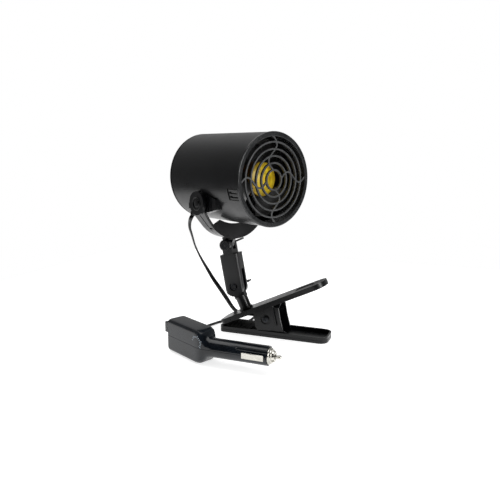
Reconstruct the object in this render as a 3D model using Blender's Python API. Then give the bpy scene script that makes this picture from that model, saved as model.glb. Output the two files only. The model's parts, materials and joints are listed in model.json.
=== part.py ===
# Clip-on car fan: a round fan head in a yoke, two clamped knuckles, a spring clip
# and a lead with a lighter-socket plug. Metres, +Z up, nose of the clip towards -X.
import math

import bmesh
import bpy
import numpy
from mathutils import Matrix, Vector

# Gaps, cuts and joins
GAP = 0.0003             # air left between pieces that touch
RUN = 0.0004             # clearance of a turning or sliding fit
OVERRUN = 0.002          # how far a cut passes the surface it opens
SINK = 0.0006            # how far a joined shape sinks into its carrier
MERGE = 0.00001
ROUND_STEPS = 36         # facets of the head's circles
MOTOR_STEPS = 16
SCREW_STEPS = 8
SMOOTH_ANGLE = math.radians(32)

# Places of the joints
PIN_HEIGHT = 0.0231      # clip pivot over the table
JAW_LEAN = math.radians(25)
KNUCKLE_ALONG = -0.0269  # lower knuckle bolt along the upper jaw
KNUCKLE_RISE = 0.0500    # and over the pivot
STEM_LEAN = math.radians(10.5)
STEM_LENGTH = 0.0538     # between the two knuckle bolts
PAN_TURN = math.radians(28.33)
EAR_FORWARD = 0.0110     # tilt axis ahead of the pan axis

# Fan head
BODY_RADIUS = 0.0530
BODY_WALL = 0.0022
AXIS_RISE = 0.0280       # fan axis over the tilt axis
FRONT_REACH = 0.0720     # front face ahead of the tilt axis
REAR_REACH = 0.0626
LUG_RADIUS = 0.0135
EAR_CLEAR = 0.0021       # swivel's side of the body under the tilt axis
EAR_RISE = BODY_RADIUS + EAR_CLEAR  # tilt axis over the upper knuckle bolt
LUG_UNDER = 0.0016       # lug's outer face inside the body's side
LUG_DEEP = 0.0114
LUG_TAPER = 0.0059       # where the lug starts to narrow outwards
LUG_FACE = BODY_RADIUS - LUG_UNDER
LUG_ROOT = LUG_FACE - LUG_DEEP
LUG_SHOULDER = LUG_FACE - LUG_TAPER
LUG_TOP = 0.0075         # its radius at the outer face
LUG_NOSE = 0.0280        # fairing ahead of the tilt axis
LUG_NOSE_HALF = 0.0060
LUG_NOSE_START = 0.0030
WINDOW_FRONT = 0.0034    # latch window behind the front face
WINDOW_LENGTH = 0.0170
WINDOW_HEIGHT = 0.0125
WINDOW_DROP = 0.0148     # middle of the window under the fan axis
LEDGE_WIDTH = 0.0080
LEDGE_REACH = 0.0046

# Front grille
RIM_OVER = 0.0005        # rim stands proud of the body
RIM_BORDER = 0.0049      # from the body's side to the opening
RIM_OPENING = BODY_RADIUS - RIM_BORDER
RIM_THICK = 0.0018
RIM_CHAMFER = 0.0011
SKIRT_DEPTH = 0.0200
SKIRT_WALL = 0.0020
RING_FIRST = 0.0111      # radius of the innermost ring
RING_COUNT = 5
RING_BORDER = 0.00612    # from the outermost ring to the opening
RING_STEP = (RIM_OPENING - RING_BORDER - RING_FIRST) / (RING_COUNT - 1)
RING_WIDTH = 0.0020
RING_DEPTH = 0.0026
RING_INSET = 0.0006
SPOKE_COUNT = 4
SPOKE_WAVE = 0.0061
SPOKE_LENGTH_OF_WAVE = 0.0370
SPOKE_CREST = 0.0210     # radius where the wave crests
SPOKE_OFFSET = 0.0023
SPOKE_POINTS = 9
TAB_CLEAR = 0.0005
TAB_RISE = 0.0012        # latch tab under the body's surface
TAB_SLOT = 0.0024
TAB_SLOT_DEPTH = 0.0020

# Rear cover
COVER_THICK = 0.0022
COVER_EDGE = 0.0034
COVER_ROUND = 0.0020
SPIGOT_DEPTH = 0.0052
SPIGOT_WALL = 0.0020
SLOT_COUNT = 16
SLOT_INNER = 0.0170
SLOT_WIDTH = 0.0034
POST_INSET = 0.0073      # cover screws inside the body's wall
POST_RING = BODY_RADIUS - BODY_WALL - POST_INSET
SLOT_CLEAR = 0.0050      # between the air slots and the screws' ring
SLOT_OUTER = POST_RING - SLOT_CLEAR
POST_RADIUS = 0.0035
POST_DEPTH = 0.0150
POST_RIB = 0.0030
COVER_SCREWS = 2

# Small screws of the head
SCREW_RADIUS = 0.0014
SCREW_HEAD = 0.0028
SCREW_HEAD_THICK = 0.0012
SCREW_LENGTH = 0.0100
HEAD_SINK = 0.0013

# Motor
MOTOR_RADIUS = 0.0140
MOTOR_WALL = 0.0010
MOTOR_SETBACK = 0.0448   # front of the can behind the front face
MOTOR_FRONT = FRONT_REACH - MOTOR_SETBACK
MOTOR_LENGTH = 0.0362
NECK_RADIUS = 0.0040
NECK_LENGTH = 0.0023
SHAFT_RADIUS = 0.0016
END_CAP_FLANGE = 0.0018
END_CAP_PLUG = 0.0030
MAGNET_THICK = 0.0022
MAGNET_LENGTH = 0.0240
MAGNET_START = 0.0055    # from the open end of the can
MAGNET_SWEEP = math.radians(332)  # a rolled strip with a split
ARMATURE_RADIUS = 0.0099
ARMATURE_LENGTH = 0.0200
ARMATURE_START = 0.0085
ARMATURE_HUB = 0.0055
WINDING_LENGTH = 0.0022
COMMUTATOR_RADIUS = 0.0036
POLE_COUNT = 3
POLE_SLOT = 0.0022
BRUSH_WIDTH = 0.0024
BRUSH_LENGTH = 0.0029
BRUSH_OUTER = 0.0090
TERMINAL_SPREAD = 0.0105
TERMINAL_THICK = 0.0008
TERMINAL_WIDTH = 0.0036
TERMINAL_REACH = 0.0070
MOUNT_THICK = 0.0026
MOUNT_PLATE = 0.0165
MOUNT_ARMS = 3
MOUNT_ARM_WIDTH = 0.0055
MOUNT_PAD_LENGTH = 0.0110
MOUNT_PAD_WIDTH = 0.0110
MOTOR_SCREW_RING = 0.0085
MOTOR_SCREW_LENGTH = 0.0050
WIRE_RADIUS = 0.0007

# Rotor
HUB_FRONT = 0.0166       # hub face behind the front face
HUB_SHARE = 0.3774       # hub's radius in the body's
HUB_RADIUS = BODY_RADIUS * HUB_SHARE
HUB_DEPTH = 0.0200
HUB_WALL = 0.0018
HUB_DOME = 0.0022
HUB_BORE_BOSS = 0.0045
BLADE_COUNT = 3
BLADE_CLEAR = 0.0043     # blade tip to the body's wall
BLADE_TIP = BODY_RADIUS - BODY_WALL - BLADE_CLEAR
BLADE_THICK = 0.0015
BLADE_DEPTH = 0.0170     # along the axis, leading to trailing edge
BLADE_TIP_SWEEP = math.radians(74)
BLADE_ROOT_SWEEP = math.radians(62)
BLADE_LEAN = math.radians(8)
BLADE_CAMBER = 0.0018
BLADE_SPANS = 4
BLADE_CHORDS = 6

# Cord gland at the head
GLAND_BACK = 0.0440      # behind the tilt axis
GLAND_ANGLE = math.radians(56)
GLAND_FLANGE = 0.0042
GLAND_FLANGE_THICK = 0.0012
GLAND_NECK = 0.0028
GLAND_TIP = 0.0024
GLAND_REACH = 0.0052
GLAND_INSIDE = 0.0030

# Yoke
YOKE_UNDER = 0.0030      # yoke's arc is this much tighter than the body
YOKE_RADIUS = BODY_RADIUS - YOKE_UNDER
YOKE_DROP = 0.0245       # centre of the arc under the fan axis
YOKE_THICK = 0.0030
YOKE_ARC = math.radians(50)
YOKE_REAR = 0.0040       # behind the pan axis
YOKE_FRONT = 0.0075      # ahead of the pan axis at the arms
WEB_FRONT = 0.0165
WEB_THICK = 0.0028
WEB_GAP = 0.0025         # between web and body
WEB_HALF = 0.0385
WEB_SHOULDER = 0.0255
EAR_RADIUS = 0.0140
EAR_OVER = 0.0056        # ear's outer face past the lug's
EAR_OUTER = LUG_FACE + EAR_OVER
EAR_THICK = 0.0040
CAP_RADIUS = 0.0086
CAP_THICK = 0.0012
CAP_DOME = 0.0004
CAP_SINK = 0.0027
PIVOT_RADIUS = 0.0020
PIVOT_HEAD = 0.0040
PIVOT_HEAD_THICK = 0.0011
PIVOT_REACH = 0.0085
WASHER_RADIUS = 0.0065
SWIVEL_BOSS = 0.0085
SWIVEL_SPIGOT = 0.0050
SWIVEL_SCREW_HEAD = 0.0070
SWIVEL_SCREW_THICK = 0.0022
SWIVEL_SCREW_RADIUS = 0.0020
SWIVEL_SCREW_LENGTH = 0.0075

# Knuckles and stem
BOLT_RADIUS = 0.0020
TAB_THICK = 0.0080
UPPER_TAB_WIDTH = 0.0120
UPPER_TAB_END = 0.0062
UPPER_EAR_WIDTH = 0.0125
UPPER_EAR_END = 0.0063
STEM_TOP = 0.0125        # stem's shoulder under the upper bolt
STEM_WIDTH = 0.0245
STEM_DEPTH = 0.0200
STEM_CORNER = 0.0035
LOWER_EAR_END = 0.0125
LOWER_SLOT_TOP = 0.0210
NUT_ACROSS = 0.0070
NUT_THICK = 0.0030
NUT_BOSS_RADIUS = 0.0061
NUT_BOSS_REACH = 0.0045
WING_HUB_RADIUS = 0.0040
WING_HUB_LENGTH = 0.0044
WING_SPAN = 0.0130
WING_LENGTH = 0.0100
WING_THICK = 0.0013
WING_CORNER = 0.0030
UPPER_WING_TURN = math.radians(24)
LOWER_WING_TURN = math.radians(18)
COLLAR_THICK = 0.0015
POST_FOOT_RADIUS = 0.0090
POST_FOOT_THICK = 0.0022
POST_STEM_RADIUS = 0.0075
POST_SHOULDER = 0.0142   # top of the round post under the bolt
POST_TAB_WIDTH = 0.0150
POST_TAB_END = 0.0075
POST_SCREW_RADIUS = 0.0018
POST_SCREW_HEAD = 0.0034
POST_SCREW_THICK = 0.0016
POST_SCREW_LENGTH = 0.0130

# Upper jaw, along and over the pivot
JAW_HALF = 0.0180
JAW_WALL = 0.0021
UPPER_TOP = 0.0178
UPPER_PLATE = 0.0022
UPPER_SKIRT = 0.0063
UPPER_NOSE = 0.0600
UPPER_HANDLE = 0.0845
UPPER_NOSE_CORNER = 0.0070
UPPER_HANDLE_CORNER = 0.0150
THUMB_LENGTH = 0.0240
THUMB_HALF = 0.0090
THUMB_SINK = 0.0009
THUMB_INSET = 0.0160
CHEEK_THICK = 0.0022
CHEEK_SHARES = ((-0.62, 0.80), (-0.77, 0.33), (-0.94, -0.21), (-0.88, -0.52),
                (-0.06, -0.85), (0.54, -0.69), (0.88, 0.80))

# Lower jaw
LOWER_NOSE = 0.0620
LOWER_HANDLE = 0.0760
LOWER_NOSE_CORNER = 0.0060
LOWER_HANDLE_CORNER = 0.0100
LOWER_FLOOR = 0.0022
LOWER_RIM = 0.0074
LUG_GAP = 0.0004         # between the outer and the inner cheeks
LOWER_CHEEK_SHARES = ((-0.52, -1.10), (-0.43, 0.21), (-0.17, 0.58), (0.37, 0.67),
                      (0.66, 0.61), (0.78, -0.05), (0.95, -0.70), (1.04, -1.10))

# Pin, spring and pads
PIN_RADIUS = 0.0020
PIN_HEAD_RADIUS = 0.0040
PIN_HEAD_THICK = 0.0015
CLIP_THICK = 0.0007
PIN_TAIL = 0.0016
SPRING_RADIUS = 0.0055
SPRING_WIRE = 0.0008     # radius of the wire
SPRING_TURNS = 6
SPRING_PITCH = 0.0022
SPRING_LEG = 0.0260
CURL_POINTS = 8
PAD_HALF = 0.0140
PAD_LOWER_NOSE = 0.0560
PAD_LOWER_END = 0.0200
PAD_LOWER_TOP = 0.0080
PAD_UPPER_NOSE = 0.0575
PAD_UPPER_END = 0.0320
PAD_UPPER_LOW = 0.01085
PAD_CORNER = 0.0040
PAD_RIBS = 6
PAD_RIB_DEPTH = 0.0006
PAD_RIB_SHARE = 0.5

# Plug, from the near left bottom corner of its box
PLUG_X = -0.0908
PLUG_Y = -0.1002
PLUG_TURN = math.radians(28.03)
PLUG_LENGTH = 0.0640
PLUG_HALF = 0.01275
PLUG_TALL = 0.0375
PLUG_CORNER = 0.0050
PLUG_WALL = 0.0022
PLUG_PARTING = 0.0190
CORNER_STEPS = 3
BARREL_RADIUS = 0.0105
BARREL_TIP_X = 0.0406
BARREL_TIP_Y = -0.1215
BARREL_TURN = math.radians(1.7)
BARREL_LENGTH = 0.0585
# Shares of the way through the shoulder, and of the change in size done there
SHOULDER_SHARES = ((0.0, 0.0), (0.16, 0.10), (0.30, 0.34), (0.44, 0.66),
                   (0.60, 0.87), (0.80, 0.97), (1.0, 1.0))
SHOULDER_START = 0.0540  # along the box
BOX_EDGE = 0.0030        # rounding of the box's left end
BULKHEAD_BACK = 0.0480
BULKHEAD_THICK = 0.0020
WINDOW_BACK = 0.0164     # middle of the contact window behind the barrel's end
CONTACT_WINDOW = 0.0220
CONTACT_HALF = 0.0032
CONTACT_PROUD = 0.0006
CONTACT_THICK = 0.0008
CONTACT_FLANGE = 0.0016
CONTACT_RAMP = 0.0028
CONTACT_SEAT = 0.0073
TIP_CAP_RADIUS = 0.0090
TIP_CAP_THICK = 0.0022
TIP_CAP_CONE = 0.0020
TIP_CAP_NOSE = 0.0056
TIP_CAP_NECK = 0.0028
TIP_PIN_RADIUS = 0.0035
TIP_PIN_REACH = 0.0094
TIP_PIN_ROUND = 0.0014
TIP_PIN_COLLAR = 0.0051
TIP_COLLAR_THICK = 0.0026
FUSE_RADIUS = 0.0031
FUSE_LENGTH = 0.0300
TIP_SPRING_RADIUS = 0.0026
TIP_SPRING_WIRE = 0.0004
PLUG_SCREW_SHARE = 0.5
PLUG_POST_RADIUS = 0.0042
PLUG_SCREW_SINK = 0.0026
PLUG_SCREW_LENGTH = 0.0260
SWITCH_NEAR = 0.0034     # near edge of the switch frame on the end face
SWITCH_WIDTH = 0.0104
SWITCH_LOW = 0.0202
SWITCH_HIGH = 0.0330
SWITCH_FRAME = 0.0012
SWITCH_BORDER = 0.0012
SWITCH_WALL = 0.0010
ROCKER_REACH = 0.0080
ROCKER_LOW_REACH = 0.0052
ROCKER_PIVOT = 0.0010
ROCKER_BACK = 0.0020
RELIEF_ALONG = 0.0120
RELIEF_HEIGHT = 0.0060
RELIEF_LENGTH = 0.0120
RELIEF_ROOT = 0.0044
RELIEF_TIP = 0.0026
RELIEF_FLANGE = 0.0010

# Cord: round, laid on the table, with its spare length wound behind the clip
CORD_RADIUS = 0.0016
CORD_STEP = 0.0080
WIND_PITCH = 0.00366
COIL_X = -0.0170
COIL_Y = 0.0440
COIL_RADIUS = 0.0214     # centreline of the outermost turn
COIL_LAYERS = 4
COIL_TURNS = 8.75
COIL_POINTS = 24
COIL_START = math.radians(-90)
COIL_LIFT = 0.0010       # tie strap under the coil
COIL_TAIL = 0.0060
TIE_WIDTH = 0.0026
TIE_THICK = 0.0007
TIE_ANGLE = math.radians(70)
TIE_LOOSE = 0.0004
TIE_TAIL = 0.0060

BLACK = (0.016, 0.016, 0.018)
SATIN = (0.024, 0.025, 0.027)
RUBBER = (0.010, 0.010, 0.011)
YELLOW = (0.72, 0.48, 0.020)
STEEL = (0.55, 0.55, 0.56)
BRASS = (0.66, 0.52, 0.25)
BLUE_BLACK = (0.018, 0.024, 0.032)
COPPER = (0.55, 0.24, 0.10)
IVORY = (0.70, 0.68, 0.60)
GLASS = (0.75, 0.80, 0.80)
RED = (0.35, 0.02, 0.02)

for old in list(bpy.data.objects):
    bpy.data.objects.remove(old, do_unlink=True)

scene_collection = bpy.context.scene.collection


def material(name, colour, roughness, metallic=0.0):
    made = bpy.data.materials.new(name)
    made.use_nodes = True
    shader = made.node_tree.nodes["Principled BSDF"]
    shader.inputs["Base Color"].default_value = (*colour, 1.0)
    shader.inputs["Roughness"].default_value = roughness
    shader.inputs["Metallic"].default_value = metallic
    made.diffuse_color = (*colour, 1.0)
    return made


def axis_empty(name, parent, place=(0, 0, 0), turn=(0, 0, 0)):
    empty = bpy.data.objects.new(name, None)
    scene_collection.objects.link(empty)
    empty.parent = parent
    empty.location = place
    empty.rotation_euler = turn
    return empty


def ready(shapes, name):
    bmesh.ops.recalc_face_normals(shapes, faces=shapes.faces)
    mesh = bpy.data.meshes.new(name)
    shapes.to_mesh(mesh)
    shapes.free()
    return mesh


def piece(name, shapes, parent, colour, roughness, metallic=0.0, smooth=True):
    made = bpy.data.objects.new(name, ready(shapes, name))
    scene_collection.objects.link(made)
    made.parent = parent
    made.data.materials.append(material(name, colour, roughness, metallic))
    if smooth:
        shade_round(made)
    return made


def shade_round(target):
    target.data.shade_smooth()
    target.data.set_sharp_from_angle(angle=SMOOTH_ANGLE)


def close_slivers(mesh):
    # A cut can leave out a sliver between nearly flat facets; its hole is refilled.
    shapes = bmesh.new()
    shapes.from_mesh(mesh)
    rims = [edge for edge in shapes.edges if edge.is_boundary]
    if rims:
        bmesh.ops.holes_fill(shapes, edges=rims, sides=4)
        shapes.to_mesh(mesh)
    shapes.free()


def combine(target, shapes, operation):
    # The tool object only lives until its result is read back as a mesh.
    tool = bpy.data.objects.new("tool", ready(shapes, "tool"))
    scene_collection.objects.link(tool)
    tool.parent = target.parent
    tool.hide_render = True
    tool.display_type = "WIRE"
    step = target.modifiers.new("combine", "BOOLEAN")
    step.operation = operation
    step.solver = "EXACT"
    step.object = tool
    graph = bpy.context.evaluated_depsgraph_get()
    result = bpy.data.meshes.new_from_object(target.evaluated_get(graph))
    close_slivers(result)
    target.modifiers.clear()
    old = target.data
    target.data = result
    bpy.data.meshes.remove(old)
    bpy.data.objects.remove(tool, do_unlink=True)
    shade_round(target)


def cut(target, shapes):
    combine(target, shapes, "DIFFERENCE")


def join(target, shapes):
    combine(target, shapes, "UNION")


def keep(target, shapes):
    combine(target, shapes, "INTERSECT")


TO_AXIS = {
    "X": Matrix(((1, 0, 0), (0, 1, 0), (0, 0, 1))),
    "Y": Matrix(((0, 1, 0), (1, 0, 0), (0, 0, 1))),
    "Z": Matrix(((0, 0, 1), (0, 1, 0), (1, 0, 0))),
}


def add_turned(shapes, profile, steps, axis="X", centre=(0, 0, 0), closed=False):
    # The profile is a list of (along the axis, radius) turned a full circle.
    before = set(shapes.verts)
    swap = TO_AXIS[axis]
    line = [shapes.verts.new(swap @ Vector((along, 0, radius)) + Vector(centre))
            for along, radius in profile]
    pairs = list(zip(line, line[1:]))
    if closed:
        pairs.append((line[-1], line[0]))
    edges = [shapes.edges.new(pair) for pair in pairs]
    bmesh.ops.spin(shapes, geom=line + edges, cent=centre, axis=swap @ Vector((1, 0, 0)),
                   angle=2 * math.pi, steps=steps, use_merge=True)
    fresh = [vert for vert in shapes.verts if vert not in before]
    bmesh.ops.remove_doubles(shapes, verts=fresh, dist=MERGE)


def add_rod(shapes, radius, low, high, steps, axis="X", centre=(0, 0, 0)):
    add_turned(shapes, [(low, 0), (low, radius), (high, radius), (high, 0)],
               steps, axis, centre)


def add_tube(shapes, outer, inner, low, high, steps, axis="X", centre=(0, 0, 0)):
    profile = [(low, inner), (low, outer), (high, outer), (high, inner)]
    add_turned(shapes, profile, steps, axis, centre, closed=True)


def add_prism(shapes, outline, axis, low, high):
    places = {
        "X": lambda a, b, depth: (depth, a, b),
        "Y": lambda a, b, depth: (a, depth, b),
        "Z": lambda a, b, depth: (a, b, depth),
    }[axis]
    base = [shapes.verts.new(places(a, b, low)) for a, b in outline]
    face = shapes.faces.new(base)
    grown = bmesh.ops.extrude_face_region(shapes, geom=[face])
    moved = [item for item in grown["geom"] if isinstance(item, bmesh.types.BMVert)]
    shift = Vector(places(0, 0, high - low))
    bmesh.ops.translate(shapes, verts=moved, vec=shift)


def add_box(shapes, low, high):
    middle = [(a + b) / 2 for a, b in zip(low, high)]
    size = [b - a for a, b in zip(low, high)]
    place = Matrix.Translation(middle) @ Matrix.Diagonal((*size, 1))
    bmesh.ops.create_cube(shapes, size=1, matrix=place)


def arc(centre, radius, start, stop, steps):
    return [(centre[0] + radius * math.cos(start + (stop - start) * i / steps),
             centre[1] + radius * math.sin(start + (stop - start) * i / steps))
            for i in range(steps + 1)]


def rounded(points, radii, steps=4):
    # Fillets each corner of a closed outline by its own radius.
    result = []
    count = len(points)
    for i, (point, radius) in enumerate(zip(points, radii)):
        here = Vector(point)
        back = (Vector(points[i - 1]) - here).normalized()
        ahead = (Vector(points[(i + 1) % count]) - here).normalized()
        half = back.angle(ahead) / 2
        if radius <= 0 or half > math.radians(89):
            result.append(tuple(here))
            continue
        reach = radius / math.tan(half)
        centre = here + (back + ahead).normalized() * radius / math.sin(half)
        first = here + back * reach - centre
        last = here + ahead * reach - centre
        sweep = math.atan2(first.x * last.y - first.y * last.x, first.dot(last))
        start = math.atan2(first.y, first.x)
        result += arc(centre, radius, start, start + sweep, steps)
    return result


def plate_outline(low_x, high_x, half, low_corner, high_corner, inset=0.0):
    corners = [(low_x + inset, -half + inset), (high_x - inset, -half + inset),
               (high_x - inset, half - inset), (low_x + inset, half - inset)]
    radii = [low_corner - inset, high_corner - inset,
             high_corner - inset, low_corner - inset]
    return rounded(corners, radii)


def spin_copies(shapes, before, centre, angle):
    fresh = [vert for vert in shapes.verts if vert not in before]
    bmesh.ops.rotate(shapes, verts=fresh, cent=centre,
                     matrix=Matrix.Rotation(angle, 3, "X"))


def add_tube_curve(name, points, radius, parent, sides, colour, roughness, metallic=0.0):
    curve = bpy.data.curves.new(name, "CURVE")
    curve.dimensions = "3D"
    curve.bevel_depth = radius
    curve.bevel_resolution = sides
    curve.use_fill_caps = True
    line = curve.splines.new("POLY")
    line.points.add(len(points) - 1)
    for slot, point in zip(line.points, points):
        slot.co = (*point, 1)
    made = bpy.data.objects.new(name, curve)
    scene_collection.objects.link(made)
    made.parent = parent
    curve.materials.append(material(name, colour, roughness, metallic))
    return made


def smooth_route(route, spacing):
    # Catmull-Rom through the route's points, read again at an even spacing.
    guide = [Vector(point) for point in route]
    guide = [guide[0] * 2 - guide[1]] + guide + [guide[-1] * 2 - guide[-2]]
    fine = []
    for i in range(1, len(guide) - 2):
        a, b, c, d = guide[i - 1:i + 3]
        for k in range(24):
            t = k / 24
            fine.append(((2 * b) + (c - a) * t + (2 * a - 5 * b + 4 * c - d) * t * t
                         + (3 * b - a - 3 * c + d) * t ** 3) / 2)
    fine.append(guide[-2])
    runs = [0.0]
    for p, q in zip(fine, fine[1:]):
        runs.append(runs[-1] + (q - p).length)
    count = max(2, round(runs[-1] / spacing))
    wanted = numpy.linspace(0, runs[-1], count + 1)
    columns = [numpy.interp(wanted, runs, [p[k] for p in fine]) for k in range(3)]
    return [Vector(row) for row in zip(*columns)]


def length_of(points):
    return sum((q - p).length for p, q in zip(points, points[1:]))


def least_gap(points, radius, skip):
    # Least clear distance between stretches that are not neighbours on the tube.
    places = numpy.array([tuple(p) for p in points])
    least = 1.0
    for i in range(len(places) - skip):
        away = numpy.linalg.norm(places[i + skip:] - places[i], axis=1).min()
        least = min(least, away - 2 * radius)
    return least


# Carriers: one empty for each joint axis, chained as the real joints are
fan_stand = axis_empty("fan_stand", None)
clip_axis = axis_empty("clip_axis", fan_stand, (0, 0, PIN_HEIGHT), (0, -JAW_LEAN, 0))
lower_knuckle_axis = axis_empty("lower_knuckle_axis", clip_axis,
                                (KNUCKLE_ALONG, 0, KNUCKLE_RISE),
                                (0, JAW_LEAN - STEM_LEAN, 0))
upper_knuckle_axis = axis_empty("upper_knuckle_axis", lower_knuckle_axis,
                                (0, 0, STEM_LENGTH), (0, STEM_LEAN, 0))
pan_axis = axis_empty("pan_axis", upper_knuckle_axis, (0, 0, 0), (0, 0, -PAN_TURN))
tilt_axis = axis_empty("tilt_axis", pan_axis, (EAR_FORWARD, 0, EAR_RISE))
fan_line = (0, 0, AXIS_RISE)


# Fan head: body with lugs, latch windows, cover posts and ledges
def add_lug(shapes, side):
    # A boss that narrows outwards, clear of the yoke's slanting arm.
    add_turned(shapes, [(side * LUG_ROOT, 0), (side * LUG_ROOT, LUG_RADIUS),
                        (side * LUG_SHOULDER, LUG_RADIUS), (side * LUG_FACE, LUG_TOP),
                        (side * LUG_FACE, 0)], 20, "Y")


def add_fairing(shapes, side):
    # A wedge that carries the boss forward and thins towards the front.
    start_half = math.sqrt(LUG_RADIUS ** 2 - LUG_NOSE_START ** 2) - SINK
    outline = [(LUG_NOSE_START, -start_half), (LUG_NOSE, -LUG_NOSE_HALF),
               (LUG_NOSE, LUG_NOSE_HALF), (LUG_NOSE_START, start_half)]
    add_prism(shapes, outline, "Y", *sorted((side * (LUG_ROOT + SINK),
                                             side * (LUG_FACE - SINK))))


front_of_body = FRONT_REACH - RIM_THICK - GAP
rear_of_body = -REAR_REACH + COVER_EDGE + GAP
inner_radius = BODY_RADIUS - BODY_WALL

shapes = bmesh.new()
add_rod(shapes, BODY_RADIUS, rear_of_body, front_of_body, ROUND_STEPS, "X",
        fan_line)
body_shell = piece("body_shell", shapes, tilt_axis, SATIN, 0.38)
for side in (-1, 1):
    for add_shape in (add_lug, add_fairing):
        shapes = bmesh.new()
        add_shape(shapes, side)
        join(body_shell, shapes)
shapes = bmesh.new()
add_rod(shapes, inner_radius, rear_of_body - OVERRUN, front_of_body + OVERRUN, ROUND_STEPS, "X",
        fan_line)
cut(body_shell, shapes)

# Posts for the cover screws stand on ribs from the wall, ahead of the cover's spigot
post_back = -REAR_REACH + COVER_THICK + GAP
rib_back = post_back + SPIGOT_DEPTH + GAP
post_angles = [math.radians(90) + 2 * math.pi * i / COVER_SCREWS
               for i in range(COVER_SCREWS)]


def on_ring(angle, radius):
    return (0, radius * math.cos(angle), AXIS_RISE + radius * math.sin(angle))


for angle in post_angles:
    shapes = bmesh.new()
    add_rod(shapes, POST_RADIUS, post_back, post_back + POST_DEPTH, 14, "X",
            on_ring(angle, POST_RING))
    post = piece("post", shapes, tilt_axis, SATIN, 0.38)
    shapes = bmesh.new()
    before = set(shapes.verts)
    add_box(shapes, (rib_back, POST_RING, AXIS_RISE - POST_RIB / 2),
            (post_back + POST_DEPTH - SINK, BODY_RADIUS - BODY_WALL / 2,
             AXIS_RISE + POST_RIB / 2))
    spin_copies(shapes, before, fan_line, angle)
    join(post, shapes)
    shapes = bmesh.new()
    shapes.from_mesh(post.data)
    bpy.data.objects.remove(post, do_unlink=True)
    join(body_shell, shapes)
for angle in post_angles:
    shapes = bmesh.new()
    add_rod(shapes, SCREW_RADIUS + GAP, post_back - OVERRUN,
            post_back + SCREW_LENGTH + GAP, SCREW_STEPS + 2, "X", on_ring(angle, POST_RING))
    cut(body_shell, shapes)

# Latch windows near the front, on both sides
window_back = FRONT_REACH - WINDOW_FRONT - WINDOW_LENGTH
window_low = AXIS_RISE - WINDOW_DROP - WINDOW_HEIGHT / 2
window_high = AXIS_RISE - WINDOW_DROP + WINDOW_HEIGHT / 2
window_depth = math.sqrt(inner_radius ** 2 - (WINDOW_DROP + WINDOW_HEIGHT / 2) ** 2)
for side in (-1, 1):
    shapes = bmesh.new()
    span = sorted((side * (window_depth - OVERRUN), side * (BODY_RADIUS + OVERRUN)))
    add_box(shapes, (window_back, span[0], window_low),
            (window_back + WINDOW_LENGTH, span[1], window_high))
    cut(body_shell, shapes)

# Pivot holes in the lugs, blind from outside
pivot_seat = EAR_OUTER - CAP_SINK + GAP
lug_hole_end = pivot_seat - PIVOT_REACH - GAP
for side in (-1, 1):
    shapes = bmesh.new()
    ends = sorted((side * lug_hole_end, side * (LUG_FACE + OVERRUN)))
    add_rod(shapes, PIVOT_RADIUS + GAP, *ends, 12, "Y")
    cut(body_shell, shapes)

# Hole for the cord gland
gland_line = Vector((0, -math.cos(GLAND_ANGLE), -math.sin(GLAND_ANGLE)))
gland_turn = Vector((0, 0, 1)).rotation_difference(gland_line).to_matrix().to_4x4()
gland_place = Matrix.Translation((-GLAND_BACK, 0, AXIS_RISE)) @ gland_turn


def put(shapes, place):
    bmesh.ops.transform(shapes, matrix=place, verts=shapes.verts)
    return shapes


shapes = bmesh.new()
add_rod(shapes, GLAND_NECK + GAP, inner_radius - OVERRUN, BODY_RADIUS + OVERRUN, 14, "Z")
cut(body_shell, put(shapes, gland_place))

# Grille: rim with skirt and latch tabs, rings, wavy spokes
rim_outer = BODY_RADIUS + RIM_OVER
skirt_outer = inner_radius - GAP
skirt_back = FRONT_REACH - SKIRT_DEPTH
ring_back = FRONT_REACH - RING_INSET - RING_DEPTH
shapes = bmesh.new()
rim = [(skirt_back, skirt_outer), (FRONT_REACH - RIM_THICK, skirt_outer),
       (FRONT_REACH - RIM_THICK, rim_outer), (FRONT_REACH - RIM_CHAMFER, rim_outer),
       (FRONT_REACH, rim_outer - RIM_CHAMFER), (FRONT_REACH, RIM_OPENING),
       (skirt_back, skirt_outer - SKIRT_WALL)]
add_turned(shapes, rim, ROUND_STEPS, "X", fan_line, closed=True)
front_grille = piece("front_grille", shapes, tilt_axis, SATIN, 0.35)
for i in range(RING_COUNT):
    radius = RING_FIRST + i * RING_STEP
    shapes = bmesh.new()
    add_tube(shapes, radius + RING_WIDTH / 2, radius - RING_WIDTH / 2, ring_back,
             FRONT_REACH - RING_INSET, 16 + 4 * i, "X", fan_line)
    join(front_grille, shapes)


def add_spoke(shapes, angle):
    # A flat bar whose middle line waves across its own radius.
    ends = (RING_FIRST, RIM_OPENING + SKIRT_WALL / 2)
    middle = []
    for i in range(SPOKE_POINTS + 1):
        reach = ends[0] + (ends[1] - ends[0]) * i / SPOKE_POINTS
        phase = 2 * math.pi * (reach - SPOKE_CREST) / SPOKE_LENGTH_OF_WAVE
        middle.append(Vector((reach, SPOKE_OFFSET + SPOKE_WAVE * math.cos(phase))))
    left = []
    right = []
    for i, point in enumerate(middle):
        along = middle[min(i + 1, SPOKE_POINTS)] - middle[max(i - 1, 0)]
        across = Vector((-along.y, along.x)).normalized() * RING_WIDTH / 2
        left.append(point + across)
        right.append(point - across)
    turn = Matrix.Rotation(angle, 2)
    outline = [turn @ p for p in left + right[::-1]]
    outline = [(p.x, AXIS_RISE + p.y) for p in outline]
    add_prism(shapes, outline, "X", ring_back + SINK / 2, FRONT_REACH - RING_INSET - SINK / 3)


for i in range(SPOKE_COUNT):
    shapes = bmesh.new()
    add_spoke(shapes, 2 * math.pi * i / SPOKE_COUNT)
    join(front_grille, shapes)

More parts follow.
